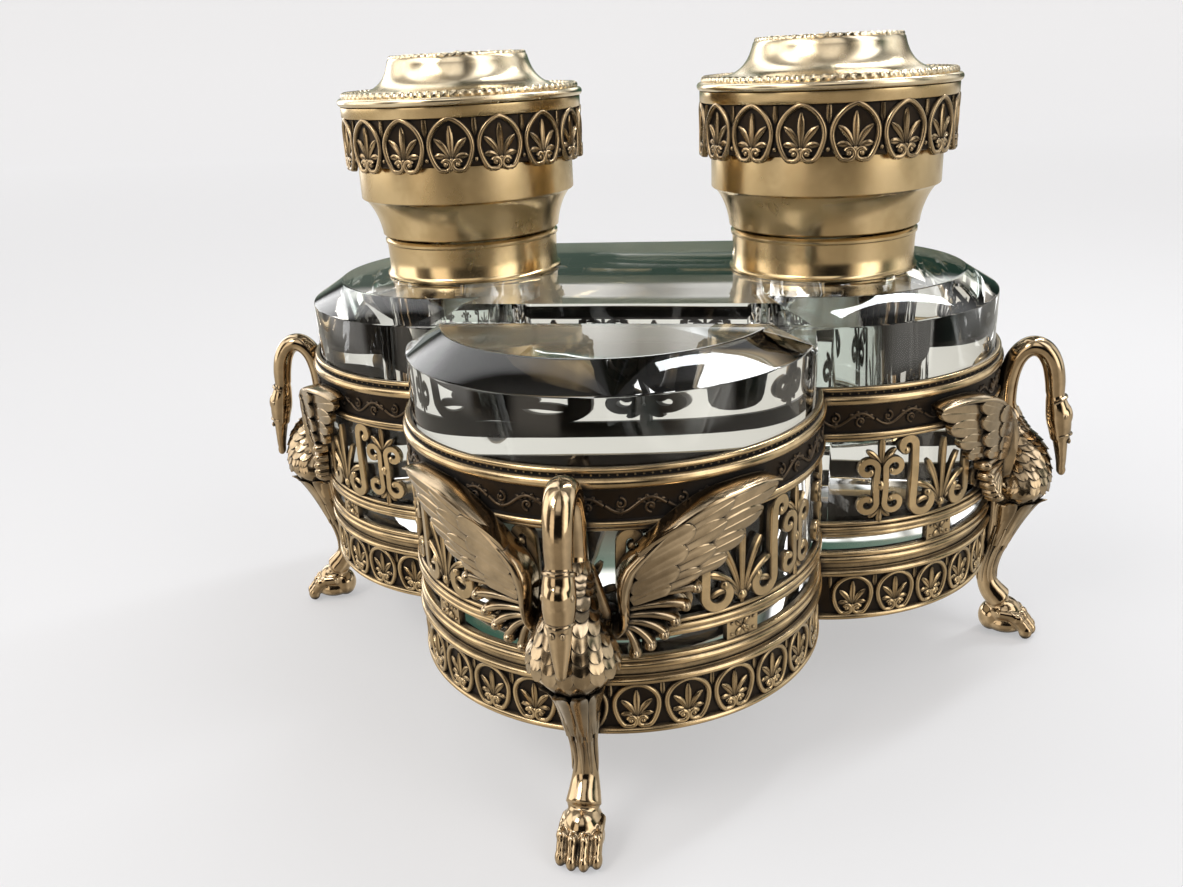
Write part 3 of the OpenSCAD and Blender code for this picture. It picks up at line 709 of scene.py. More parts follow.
def build_skirt():
    z0, z1 = SKIRT_Z, LEDGE_Z
    outside = ([(WALL_R - 0.35, z0)] + bead(WALL_R - 0.25, z0 + 0.62, 0.55, -80, 85, 9)
               + [(WALL_R - 0.62, z0 + 1.3), (WALL_R - 0.62, z1 - 1.75), (LEDGE_R - 0.75, z1 - 1.7)]
               + bead(LEDGE_R - 0.62, z1 - 0.95, 0.62, -65, 80, 9)
               + [(WALL_R - 0.2, z1 - 0.22), (WALL_R - 0.2, z1)])
    wall = moulding(ring_wall(outside), 100)
    obj = gallery_piece("skirt_wall", wall, "base_skirt")
    darken_ground(obj, z0 + 1.25, z1 - 1.7)
    height = z1 - z0 - 3.3
    arch = palmette_arch(3.62, height, 0.0, 0.5, 0.72).moved(lambda p: p + np.array([0, z0 + 1.5, 0]))
    # spandrel: a bud between two arches at the top
    for sign in (-1, 1):
        arch.join(leaf((sign * 4.3, z0 + 1.45 + height), 180, 2.3, 0.42, 0.5, n=7, stem=0.8))
    arches = Shape()
    r = WALL_R - 0.62
    step = 13.2
    for k in range(-6, 7):
        arches.join(arch.moved(on_lobe(FRONT, k * step, r)))
    for lobe in (LEFT, RIGHT):
        for k in range(1, 14):
            arches.join(arch.moved(on_lobe(lobe, lobe * k * step, r)))
    for k in range(8):
        arches.join(arch.moved(on_back((k - 3.5) * 8.4, r)))
    gallery_piece("skirt_arches", arches, "skirt_palmettes")


# ---------------------------------------------------------------- covers and collars


def lathe(profile, centre, n=128, closed=True):
    """Turned shape: profile points (radius, height) about a vertical axis. Open ends on the axis are
    capped."""
    profile = np.array(profile, float)
    a = np.linspace(0, TAU, n + 1)[:-1]
    rows, cols = n, len(profile)
    verts = np.zeros((rows, cols, 3))
    verts[:, :, 0] = centre[0] + profile[None, :, 0] * np.cos(a)[:, None]
    verts[:, :, 1] = centre[1] + profile[None, :, 0] * np.sin(a)[:, None]
    verts[:, :, 2] = profile[None, :, 1]
    faces = grid_faces(rows, cols, True, closed)
    if not closed:
        faces.append(tuple(i * cols for i in range(rows)))
        faces.append(tuple(i * cols + cols - 1 for i in reversed(range(rows))))
    return Shape().add(verts, faces)


def rope(radius, z, size, strands, centre, per=7, around_n=9, groove=0.2):
    """A twisted rope ring about a vertical axis."""
    n = strands * per
    a = np.linspace(0, TAU, n + 1)[:-1][:, None]
    b = np.linspace(0, TAU, around_n + 1)[:-1][None, :]
    r = size * (1 - groove * np.abs(np.sin((strands * a + 2 * b) / 2)) ** 6)
    x = radius + r * np.cos(b)
    verts = np.stack([centre[0] + x * np.cos(a), centre[1] + x * np.sin(a), z + r * np.sin(b)], 2)
    return Shape().add(verts, grid_faces(n, around_n, True, True))


def bead_ring(radius, z, size, count, centre):
    shape = Shape()
    for k in range(count):
        a = TAU * k / count
        verts, faces = small_ball((centre[0] + radius * math.cos(a), centre[1] + radius * math.sin(a), z),
                                  size, 8, 5)
        shape.add(verts, faces)
    return shape


def cylinder_x(x0, x1, y, z, radius, n=32, chamfer=0.15):
    """Solid cylinder along X with eased ends."""
    profile = [(radius - chamfer, x0), (radius, x0 + chamfer), (radius, x1 - chamfer), (radius - chamfer, x1)]
    shape = lathe(profile, (0, 0), n, closed=False)
    return shape.moved(lambda p: np.stack([p[:, 2], y + p[:, 0], z + p[:, 1]], 1))


def prism_x(x0, x1, outline):
    """Solid between x0 and x1 with an outline of (y, z) points."""
    n = len(outline)
    verts = [(x, y, z) for x in (x0, x1) for y, z in outline]
    faces = [(k, (k + 1) % n, n + (k + 1) % n, n + k) for k in range(n)]
    faces += [tuple(reversed(range(n))), tuple(range(n, 2 * n))]
    return Shape().add(verts, faces)


def build_cover(side):
    name = SIDE_NAMES[side]
    body = "cover_" + name
    centre = (side * WELL_X, WELL_Y)
    z = COVER_Z
    # shell: foot bead, hollow cove, plain drum
    cove = bezier([(18.8, z + 0.45), (19.1, z + 3.4), (20.4, z + 6.6), (21.85, z + 7.9)], 14)
    outside = ([(18.0, z), (18.5, z + 0.3)] + [tuple(p) for p in cove]
               + [(22.2, z + 7.95), (22.4, z + 8.15), (22.42, z + 8.4), (22.42, BAND_Z + 2.0)])
    inside = [(21.2, BAND_Z + 2.0), (21.2, z + 8.6)] + [tuple(p) for p in bezier(
        [(20.8, z + 8.2), (19.4, z + 7.4), (18.0, z + 4.8), (17.6, z + 1.5)],
        8)] + [(17.0, z + 0.2), (17.2, z)]
    shell = lathe(outside + inside, centre, 144)
    x = side * WELL_X
    tongue = cylinder_x(x - 2.0, x + 2.0, HINGE_Y, HINGE_Z, 1.65)
    arm = prism_x(x - 2.0, x + 2.0, [(HINGE_Y - 0.9, HINGE_Z + 0.6), (HINGE_Y + 0.4, HINGE_Z + 1.55),
                                     (WELL_Y + 19.1, z + 4.2), (WELL_Y + 17.6, z + 4.2),
                                     (WELL_Y + 17.8, z + 0.4)])
    shell.join(tongue).join(arm)
    piece("cover_drum_" + name, shell, DRUM_BRASS, body, "polished_brass", "cover_shell_" + name)
    # band of pointed arches under a plain fascia
    r = 24.05
    band = lathe([(22.35, BAND_Z + 1.0), (r - 0.35, BAND_Z + 1.0), (r, BAND_Z + 1.25), (r, CAP_Z - 2.3),
                  (r + 0.45, CAP_Z - 2.15), (r + 0.6, CAP_Z - 1.95), (r + 0.6, CAP_Z - 0.1),
                  (22.35, CAP_Z - 0.1)], centre, 144)
    arches = Shape()
    height = CAP_Z - BAND_Z - 2.75
    arch = palmette_arch(4.1, height, 0.9, 0.52, 0.78).moved(lambda p: p + np.array([0, BAND_Z + 0.55, 0]))
    for sign in (-1, 1):
        arch.join(leaf((sign * TAU * r / 32, CAP_Z - 2.35), 180, 3.1, 0.55, 0.6, n=8, stem=0.8))
    arch.join(boss(TAU * r / 32, BAND_Z + 2.4, 0.5, 0.6, 9, 3))
    for k in range(16):
        arches.join(arch.moved(on_well(side, (k + 0.5) * 22.5, r)))
    piece("arches_" + name, arches, BAND_GILT, body, "relief_gilt")
    obj = piece("arch_band_" + name, band, DRUM_BRASS, body, "relief_gilt", "palmette_band_" + name)
    darken_ground(obj, BAND_Z + 0.9, CAP_Z - 2.2)
    # cap: rounded moulding, rope, flat, hollow-sided dome
    edge = bead(24.35, CAP_Z + 0.82, 0.82, -85, 85, 12)
    flank = bezier([(19.9, CAP_Z + 2.4), (17.2, CAP_Z + 3.0), (15.2, CAP_Z + 0.5 * DOME_H),
                    (14.3, CAP_Z + DOME_H - 0.4)], 14)
    profile = ([(0.001, CAP_Z - 0.3), (22.2, CAP_Z - 0.3), (23.5, CAP_Z - 0.05)] + edge
               + [(23.2, CAP_Z + 1.75), (22.9, CAP_Z + 2.1), (20.6, CAP_Z + 2.2), (20.4, CAP_Z + 2.45)]
               + [tuple(p) for p in flank] + [(14.0, CAP_Z + DOME_H - 0.05), (13.6, CAP_Z + DOME_H),
                                              (0.001, CAP_Z + DOME_H)])
    cap = lathe(profile, centre, 160, closed=False)
    cap.join(rope(23.6, CAP_Z + 2.0, 0.78, 84, centre, groove=0.34))
    piece("cap_dome_" + name, cap, CAP_BRASS, body, "pale_gilt", "cover_cap_" + name)
    # rosette: bead ring, laurel wreath and a small central flower
    top = CAP_Z + DOME_H - 0.1
    wreath = rope(13.55, top + 0.15, 0.55, 60, centre)
    wreath.join(bead_ring(12.1, top + 0.1, 0.36, 64, centre))

    def lie(p):
        return np.stack([centre[0] + p[:, 0], centre[1] + p[:, 1], top + p[:, 2]], 1)
    for k in range(28):
        a = 360 * k / 28
        for ring_r, lean in ((10.15, 65), (8.65, 115)):
            base = (ring_r * math.sin(math.radians(a)), ring_r * math.cos(math.radians(a)))
            wreath.join(leaf(base, a + lean, 2.5, 0.62, 0.62, n=8, lift=0.25).moved(lie))
    for k in range(10):
        wreath.join(leaf((0, 0), 36 * k, 4.4, 0.95, 0.7, n=9, lift=0.1).moved(lie))
    wreath.join(boss(0, 0, 1.0, 1.1, 14, 4).moved(lie))
    piece("dome_wreath_" + name, wreath, CAP_BRASS, body, "pale_gilt", "cover_rosette_" + name)
    lining = lathe([(0.001, z), (16.1, z), (16.35, z + 0.25), (16.35, z + 1.5), (0.001, z + 1.6)],
                   centre, 96, closed=False)
    piece("cover_seal_" + name, lining, PIN_BRASS, body, "polished_brass", "cover_lining_" + name)


def build_collar(side):
    name = SIDE_NAMES[side]
    centre = (side * WELL_X, WELL_Y)
    z, top = GLASS_Z, COLLAR_TOP
    outside = [(16.3, z + 0.02), (18.6, z + 0.02), (18.75, z + 0.12), (18.75, z + 0.5),
               (18.4, z + 0.8), (18.15, z + 1.3),
               (18.1, z + 4.0), (18.2, top - 1.2), (18.45, top - 1.05), (18.5, top - 0.95),
               (18.5, top - 0.45), (18.0, top)]
    inside = [(17.6, top), (17.4, top - 0.3), (16.3, top - 0.6)]
    collar = lathe(outside + inside, centre, 144)
    x = side * WELL_X
    for s in (-1, 1):
        x0, x1 = sorted((x + s * 2.15, x + s * 6.0))
        collar.join(cylinder_x(x0, x1, HINGE_Y, HINGE_Z, 1.65))
        collar.join(prism_x(x0, x1, [(HINGE_Y + 0.9, HINGE_Z - 0.9), (HINGE_Y - 0.6, HINGE_Z + 0.4),
                                     (WELL_Y + 17.6, top - 0.4),
                                          (WELL_Y + 17.6, z + 1.4), (WELL_Y + 18.2, z + 1.4)]))
    piece("neck_collar_" + name, collar, DRUM_BRASS, "crystal", "polished_brass", "collar_" + name)
    pin = cylinder_x(x - 6.4, x + 6.4, HINGE_Y, HINGE_Z, 0.8, 20)
    for s in (-1, 1):
        pin.join(cylinder_x(*sorted((x + s * 5.98, x + s * 6.4)), HINGE_Y, HINGE_Z, 0.98, 20, 0.12))
    piece("hinge_pin_bar_" + name, pin, PIN_BRASS, "crystal", "fixing_brass", "hinge_pin_" + name)
    liner = lathe([(0.001, liner_low[2] + 0.02), (13.9, liner_low[2] + 0.02), (14.3, liner_low[2] + 0.4),
                   (14.3, liner_high[2] - 0.5),
                   (13.6, liner_high[2]), (13.1, liner_high[2] - 0.1), (12.9, liner_high[2] - 0.5),
                   (12.9, liner_low[2] + 2.8), (11.8, liner_low[2] + 2.0), (0.001, liner_low[2] + 2.0)],
                   centre, 96, closed=False)
    piece("well_liner_" + name, liner, LINER_GLASS, "crystal", "liner_glass", "ink_liner_" + name)


# ---------------------------------------------------------------- crystal


def build_crystal():
    z0, z1 = plate_high[2] + 0.08, GLASS_Z
    r = GLASS_R
    profile = [(r - 0.7, z0), (r - 0.2, z0 + 0.15), (r, z0 + 0.6), (r, z1 - 4.25), (r - 0.09, z1 - 4.02),
               (r - 0.32, z1 - 3.84), (r - 6.2, z1 - 0.16), (r - 6.45, z1 - 0.03), (r - 6.75, z1)]
    loops = [np.insert(around(rr, 150, 40), 2, z, axis=1) for rr, z in profile]
    rows, cols = len(loops[0]), len(profile)
    block = Shape().add(np.stack(loops, 1).reshape(-1, 3), grid_faces(rows, cols, True, False))
    block.faces.append(tuple(i * cols for i in range(rows)))
    block.faces.append(tuple(i * cols + cols - 1 for i in reversed(range(rows))))
    mesh = block.mesh("crystal_block_cut")
    soften(mesh, math.radians(25))
    obj = bpy.data.objects.new("cut_block", mesh)
    bpy.context.collection.objects.link(obj)
    cutters = []

    def cut(shape, name):
        cutter_mesh = shape.mesh(name)
        soften(cutter_mesh, math.radians(25))
        cutter = bpy.data.objects.new(name, cutter_mesh)
        bpy.context.collection.objects.link(cutter)
        modifier = obj.modifiers.new(name, "BOOLEAN")
        modifier.operation = "DIFFERENCE"
        modifier.solver = "EXACT"
        modifier.object = cutter
        cutters.append(cutter)

    cut(cylinder_x(-120, 120, GROOVE_Y, z1 + 0.35, GROOVE_R, 96), "groove_cutter")
    for side in (LEFT, RIGHT):
        bore = lathe([(0.001, liner_low[2] - 0.3), (13.8, liner_low[2] - 0.3),
                      (14.55, liner_low[2] + 0.4), (14.55, z1 + 5)],
                     (side * WELL_X, WELL_Y), 96, closed=False)
        cut(bore, "bore_cutter_" + SIDE_NAMES[side])
    bpy.context.view_layer.update()
    cut_mesh = bpy.data.meshes.new_from_object(obj.evaluated_get(bpy.context.evaluated_depsgraph_get()))
    bpy.data.objects.remove(obj)
    for cutter in cutters:
        bpy.data.objects.remove(cutter)
    piece("cut_crystal", cut_mesh, CRYSTAL, "crystal", "crystal", "crystal_block", sharp=math.radians(25))


# ---------------------------------------------------------------- swans


def at_swan(side):
    """From the swan's own frame (out, sideways, up) to the object's frame."""
    turn = math.radians(SWAN_TURNS[side])
    cx, cy = CENTRES[side]

    def place(p):
        out, across = p[:, 0], p[:, 1]
        return np.stack([cx + out * math.sin(turn) + across * math.cos(turn),
                         cy - out * math.cos(turn) + across * math.sin(turn), p[:, 2]], 1)
    return place


def path_normal(path):
    """Unit direction of a path in the plane, and the direction square to it."""
    run = np.gradient(path, axis=0)
    run /= np.linalg.norm(run, axis=1, keepdims=True)
    return run, np.stack([run[:, 1], -run[:, 0]], 1)


def tube(stations, n=24, across=0.0):
    """Closed tube in the (out, up) plane. stations: rows of out, up, half width sideways, half depth."""
    st = np.asarray(stations, float)
    run, normal = path_normal(st[:, :2])
    a = np.linspace(0, TAU, n + 1)[:-1]
    last = len(st) - 1
    rows = []
    for i, scale, push in [(0, 0.6, -0.35)] + [(i, 1.0, 0.0) for i in range(last + 1)] + [(last, 0.6, 0.35)]:
        centre = st[i, :2] + run[i] * push * st[i, 3]
        depth = st[i, 3] * np.cos(a) * scale
        rows.append(np.stack([centre[0] + normal[i, 0] * depth, across + st[i, 2] * np.sin(a) * scale,
                              centre[1] + normal[i, 1] * depth], 1))
    faces = grid_faces(len(rows), n, False, True)
    faces.append(tuple(reversed(range(n))))
    faces.append(tuple((len(rows) - 1) * n + k for k in range(n)))
    return Shape().add(np.concatenate(rows), faces)


def spline(rows, n):
    """Catmull-Rom through rows of numbers, n points."""
    rows = np.asarray(rows, float)
    padded = np.concatenate([[2 * rows[0] - rows[1]], rows, [2 * rows[-1] - rows[-2]]])
    out = []
    for t in np.linspace(0, len(rows) - 1, n):
        i = min(int(t), len(rows) - 2)
        u = t - i
        p0, p1, p2, p3 = padded[i:i + 4]
        out.append(0.5 * (2 * p1 + (p2 - p0) * u + (2 * p0 - 5 * p1 + 4 * p2 - p3) * u * u
                          + (3 * p1 - p0 - 3 * p2 + p3) * u ** 3))
    return np.array(out)


def ellipsoid(centre, radii, n=20, rings=12, lean=0.0):
    verts, faces = small_ball((0, 0, 0), 1.0, n, rings)
    v = np.array(verts) * np.array(radii)
    c, s = math.cos(math.radians(lean)), math.sin(math.radians(lean))
    v = np.stack([v[:, 0] * c + v[:, 2] * s, v[:, 1], -v[:, 0] * s + v[:, 2] * c], 1)
    return Shape().add(v + np.array(centre), faces)


def fused(shape, voxel, smooth, name):
    """One skin round overlapping solids."""
    mesh = shape.mesh(name + "_parts")
    soften(mesh, math.pi)
    obj = bpy.data.objects.new(name + "_parts", mesh)
    bpy.context.collection.objects.link(obj)
    remesh = obj.modifiers.new("skin", "REMESH")
    remesh.mode = "VOXEL"
    remesh.voxel_size = voxel * MM
    if smooth:
        ease = obj.modifiers.new("ease", "SMOOTH")
        ease.factor, ease.iterations = 0.5, smooth
    bpy.context.view_layer.update()
    result = bpy.data.meshes.new_from_object(obj.evaluated_get(bpy.context.evaluated_depsgraph_get()))
    bpy.data.objects.remove(obj)
    result.name = name
    return result


NECK = [(40.6, 38, 4.4, 3.6), (40.0, 42, 3.7, 3.0), (39.6, 46, 3.0, 2.5),
        (39.25, 50, 2.6, 2.2), (39.15, 54, 2.45, 2.0),
        (39.35, 58, 2.45, 2.0), (40.2, 61.5, 2.5, 2.0), (41.7, 63.7, 2.5, 2.0), (43.6, 64.5, 2.5, 2.0),
        (45.6, 63.6, 2.45, 2.0), (47.1, 61.2, 2.35, 2.0), (47.9, 58, 2.2, 1.95), (48.2, 55, 2.05, 1.8)]
HEAD = [(48.2, 55.4, 1.9, 1.6), (48.5, 53.6, 2.25, 1.95), (49.0, 51.6, 2.55, 2.3), (49.4, 49.6, 2.6, 2.4),
        (49.8, 47.4, 2.35, 2.15), (50.0, 45.4, 1.95, 1.8)]
BEAK = [(49.9, 46.8, 2.0, 1.7), (50.2, 44.6, 1.85, 1.4), (50.5, 42.4, 1.55, 1.15), (50.75, 40.2, 1.2, 0.95),
        (50.8, 38.2, 0.85, 0.75)]
BREAST = [(39.4, 52, 2.4, 1.9), (40.1, 48.6, 2.9, 2.5), (41.2, 45, 3.6, 3.8),
          (42.5, 41.4, 5.0, 5.2), (42.9, 38, 6.7, 5.8),
          (42.8, 34.8, 6.5, 5.5), (42.0, 31.8, 4.2, 3.7), (41.2, 29.2, 2.8, 2.6)]
LEG = [(41.0, 31.5, 4.6, 3.8), (41.0, 28.5, 3.9, 3.4), (40.7, 25.5, 3.1, 2.8),
       (39.9, 22, 2.45, 2.3), (39.0, 18.5, 2.0, 2.0),
       (38.55, 15, 1.95, 1.95), (38.9, 12, 2.2, 2.1), (40.0, 9.8, 2.6, 2.5), (41.6, 8.0, 3.0, 2.7)]


def shell_of(top, inner):
    """Closed thin shell between two grids of points."""
    rows, cols = top.shape[:2]
    off = rows * cols
    faces = grid_faces(rows, cols) + [tuple(off + q for q in reversed(f)) for f in grid_faces(rows, cols)]
    border = (list(range(cols)) + [i * cols + cols - 1 for i in range(1, rows)]
              + [(rows - 1) * cols + j for j in range(cols - 2, -1, -1)]
              + [i * cols for i in range(rows - 2, 0, -1)])
    for a, b in zip(border, border[1:] + border[:1]):
        faces.append((a, a + off, b + off, b))
    return Shape().add(np.concatenate([top.reshape(-1, 3), inner.reshape(-1, 3)]), faces)


def scale_feathers(stations, rows, side_reach, length=2.3, half=1.15, rise=0.5):
    """Overlapping round-tipped feathers laid on the front of a body given as tube stations."""
    st = spline(stations, 160)
    normal = path_normal(st[:, :2])[1]
    travel = np.concatenate([[0], np.cumsum(np.linalg.norm(np.diff(st[:, :2], axis=0), axis=1))])

    def surface(s, across, lift):
        i = np.interp(s, travel, np.arange(len(st)))
        at = [np.interp(i, np.arange(len(st)), st[:, k]) for k in range(4)]
        nx, nz = (np.interp(i, np.arange(len(st)), normal[:, k]) for k in range(2))
        a = across / np.maximum((at[2] + at[3]) / 2, 1.0)
        depth, width = (at[3] + lift) * np.cos(a), (at[2] + lift) * np.sin(a)
        return np.stack([at[0] - nx * depth, width, at[1] - nz * depth], -1)

    shape = Shape()
    u = np.linspace(-1, 1, 7)
    v = np.array([0, 0.3, 0.55, 0.75, 0.9, 0.98, 1.0])
    s0, s1 = rows
    step = length * 0.62
    count = int((s1 - s0) / step)
    for k in range(count):
        s = s0 + k * step
        i = np.interp(s, travel, np.arange(len(st)))
        mean = (np.interp(i, np.arange(len(st)), st[:, 2]) + np.interp(i, np.arange(len(st)), st[:, 3])) / 2
        reach = side_reach * mean
        m = max(int(2 * reach / (2 * half * 0.94)), 1)
        for j in range(m + (k % 2)):
            across = (j - (m - 1 + (k % 2)) / 2) * 2 * half * 0.94
            outline = half * np.where(v < 0.5, 0.86 + 0.28 * v,
                                      np.sqrt(np.maximum(1 - ((v - 0.5) / 0.5) ** 2, 0.0)))
            grid_s = s + length * v[:, None]
            grid_a = across + outline[:, None] * u[None, :]
            rim = 0.2 * np.maximum(np.abs(u[None, :]) ** 4, v[:, None] ** 5)
            lift = 0.06 + rise * v[:, None] ** 1.2 * (1 - 0.2 * u[None, :] ** 2) + rim
            top = surface(grid_s, grid_a, lift)
            under = surface(grid_s, grid_a, -0.35)
            shape.join(shell_of(top, under))
    return shape


def calyx(z0, z1, low, high, u0, u1, count, flare, width, turn=0.0):
    """Leaves growing up round the leg to a flared, curling lip. low and high are the cup's half sizes."""
    shape = Shape()
    t = np.linspace(0, 1, 12)
    for k in range(count):
        a = TAU * (k + 0.5) / count + turn
        half = width * np.where(t < 0.7, 0.45 + 0.8 * t,
                                1.01 * np.sqrt(np.maximum(1 - ((t - 0.7) / 0.31) ** 2, 0.0)))
        rows = []
        for i, tt in enumerate(t):
            row = []
            for lateral in np.linspace(-1, 1, 7):
                out = flare * tt ** 3 + 0.34 * (1 - abs(lateral)) ** 0.7 + 0.16 * (abs(lateral) > 0.6)
                ru, rv = (low[m] + (high[m] - low[m]) * tt + out for m in (0, 1))
                da = lateral * half[i] / ((ru + rv) / 2)
                height = z0 + (z1 - z0) * tt - 1.1 * max(tt - 0.86, 0) / 0.14
                row.append((u0 + (u1 - u0) * tt + ru * math.cos(a + da), rv * math.sin(a + da), height))
            rows.append(row)
        top = np.array(rows)
        mid = np.stack([u0 + (u1 - u0) * t, 0 * t, 0 * t], 1)[:, None, :] * np.array([1, 0, 0])
        inner = (top - mid) * np.array([0.84, 0.84, 1]) + mid
        shape.join(shell_of(top, inner))
    return shape


def swan_skin():
    """Every fused part of one swan, in its own frame."""
    s = Shape()
    s.join(tube(spline(NECK, 60), 28))
    s.join(tube(spline(HEAD, 24), 28))
    s.join(tube(spline(BEAK, 20), 24))
    s.join(ellipsoid((49.5, 0, 50.4), (2.5, 2.5, 3.1), 24, 16, -6))
    for v in (-1, 1):
        # cheeks
        s.join(ellipsoid((50.0, v * 1.0, 48.6), (1.3, 1.1, 1.7), 16, 10))
    s.join(ellipsoid((51.0, 0, 38.6), (0.85, 0.95, 1.2), 16, 10))
    s.join(tube(spline(BREAST, 40), 40))
    s.join(tube(spline(LEG, 60), 36))
    # root that joins the breast and leg to the skirt and rails
    s.join(tube([(38.4, 50, 3.2, 1.2), (38.2, 42, 5.6, 1.4), (38.2, 34, 5.6, 1.6), (38.3, 27, 3.6, 1.7),
                 (38.2, 22, 2.2, 1.2)], 24))
    # ankle cuff and paw
    s.join(ellipsoid((41.3, 0, 8.0), (3.0, 2.75, 1.6), 24, 12, 25))
    s.join(ellipsoid((40.4, 0, 3.6), (2.7, 2.9, 3.4), 24, 14))
    s.join(ellipsoid((42.6, 0, 5.1), (3.8, 3.3, 3.3), 24, 14))
    s.join(ellipsoid((43.2, 0, 2.6), (4.4, 3.6, 2.5), 24, 14))
    for v, out in ((-2.95, -0.5), (-1.0, 0.35), (1.0, 0.35), (2.95, -0.5)):
        s.join(tube([(42.2 + out, 5.4, 0.75, 1.0), (44.6 + out, 5.2, 0.86, 1.15),
                     (46.2 + out, 4.2, 0.86, 1.25),
                          (47.3 + out, 2.9, 0.84, 1.25), (47.9 + out, 1.7, 0.84, 1.1)], 14, across=v))
        s.join(ellipsoid((46.1 + out, v, 4.6), (1.35, 1.0, 1.25), 16, 12))
        s.join(ellipsoid((47.9 + out, v, 1.75), (1.4, 1.0, 1.6), 16, 12))
    return s


def build_swan(side):
    name = SIDE_NAMES[side]
    place = at_swan(side)

    def clear_of_gallery(p):
        """Nothing of the swan goes inside the gallery wall above the skirt's foot."""
        out = p[:, 0].copy()
        high = p[:, 2] > 17.5
        out[high] = np.maximum(out[high], 37.35)
        q = p.copy()
        q[:, 0] = out
        q[:, 2] = np.maximum(q[:, 2], 0.05)
        return q

    skin = fused(swan_skin(), 0.24, 3, "swan_skin_" + name)
    count = len(skin.vertices)
    co = np.zeros(count * 3)
    skin.vertices.foreach_get("co", co)
    own = clear_of_gallery(co.reshape(-1, 3) / MM)
    skin.vertices.foreach_set("co", (place(own) * MM).ravel())
    skin.update()
    piece("swan_figure_" + name, skin, SWAN_GILT, "gallery", "cast_gilt",
          "swan_" + name, sharp=math.radians(60))
    detail = Shape()
    detail.join(scale_feathers(BREAST, (0.6, 5.2), 2.3, 1.8, 0.85, 0.4))
    detail.join(scale_feathers(BREAST, (5.4, 16.6), 2.0, 2.5, 1.2, 0.6))
    detail.join(calyx(21.5, 33.6, (2.4, 2.55), (4.3, 3.8), 39.9, 43.1, 9, 1.5, 1.45))
    detail.join(calyx(20.0, 30.4, (2.1, 2.3), (3.4, 3.1), 39.7, 41.8, 9, 0.5, 1.2, TAU / 18))
    # crest where the neck meets the head, and the line and nostrils at the root of the beak
    for v in (-1, 1):
        detail.join(thread(bezier([(50.35, 0, 54.3), (50.3, v * 1.4, 54.5), (49.4, v * 2.2, 54.3),
                                   (48.0, v * 2.3, 53.4)], 10), 0.36))
        detail.join(thread(bezier([(52.0, 0, 46.6), (51.8, v * 1.3, 46.7), (50.9, v * 2.0, 46.9),
                                   (49.6, v * 2.1, 46.4)], 10), 0.34))
        detail.join(ellipsoid((51.7, v * 0.8, 45.2), (0.34, 0.4, 0.55), 10, 8))
    # flutes down the leg
    leg = spline(LEG, 60)
    for k in range(9):
        a = TAU * (k + 0.5) / 9
        part = leg[14:44]
        lines = part[:, :2] + path_normal(part[:, :2])[1] * part[:, 3:] * math.cos(a)
        size = 0.42 * np.sin(np.linspace(0.15, 1, 30) * math.pi) ** 0.5 + 0.05
        detail.join(thread(np.stack([lines[:, 0], part[:, 2] * math.sin(a), lines[:, 1]], 1), size))
    # eyes
    for v in (-1, 1):
        detail.join(ellipsoid((50.2, v * 2.05, 50.7), (0.62, 0.5, 0.62), 14, 10))
    detail = detail.moved(clear_of_gallery).moved(place)
    piece("swan_chasing_" + name, detail, FEATHER_GILT, "gallery", "cast_gilt")


def thread(path, size, n=8):
    """Thin closed tube along any path in space."""
    path = np.asarray(path, float)
    run = np.gradient(path, axis=0)
    run /= np.maximum(np.linalg.norm(run, axis=1, keepdims=True), 1e-9)
    ref = np.array([0.0, 0.0, 1.0]) if abs(run[:, 2].mean()) < 0.8 else np.array([1.0, 0.0, 0.0])
    side = np.cross(run, ref)
    side /= np.maximum(np.linalg.norm(side, axis=1, keepdims=True), 1e-9)
    up = np.cross(side, run)
    size = np.broadcast_to(np.asarray(size, float), (len(path),))[:, None, None]
    a = np.linspace(0, TAU, n + 1)[:-1]
    round_path = side[:, None, :] * np.cos(a)[None, :, None] + up[:, None, :] * np.sin(a)[None, :, None]
    rings = path[:, None, :] + size * round_path
    faces = grid_faces(len(path), n, False, True)
    faces += [tuple(reversed(range(n))), tuple((len(path) - 1) * n + k for k in range(n))]
    return Shape().add(rings.reshape(-1, 3), faces)


# ---------------------------------------------------------------- wings

WING_R = 39.0
DEG = math.radians(1) * WING_R          # mm along the wall per degree

FEATHER_SECTION = [(-1, 0), (-0.97, 0.9), (-0.84, 1.05), (-0.6, 0.9), (-0.12, 0.74), (0, 0.84), (0.12, 0.7),
                   (0.55, 0.55), (0.88, 0.4), (0.97, 0.25), (1, 0)]


def feather(base, tip, width, sag=0.0, relief=0.8, lift=(0.0, 0.0), root=0.6, depth=1.0):
    """A feather with a shaft: half width, sideways sag of its middle, and how far it lies out at base
    and tip."""
    base, tip = np.array(base, float), np.array(tip, float)
    line = tip - base
    across = np.array([line[1], -line[0]]) / np.linalg.norm(line)
    t = np.concatenate([np.linspace(0, 0.78, 9), [0.84, 0.89, 0.93, 0.96, 0.985, 1.0]])
    path = base + line * t[:, None] + across * (4 * sag * t * (1 - t))[:, None]
    w = np.where(t < 0.78, root + (1 - root) * np.sqrt(t / 0.78),
                 np.sqrt(np.maximum(1 - ((t - 0.78) / 0.225) ** 2, 0.0)))
    return ribbon(path, width * w, relief * (0.6 + 0.4 * w), FEATHER_SECTION, depth,
                  base=lift[0] + (lift[1] - lift[0]) * t)


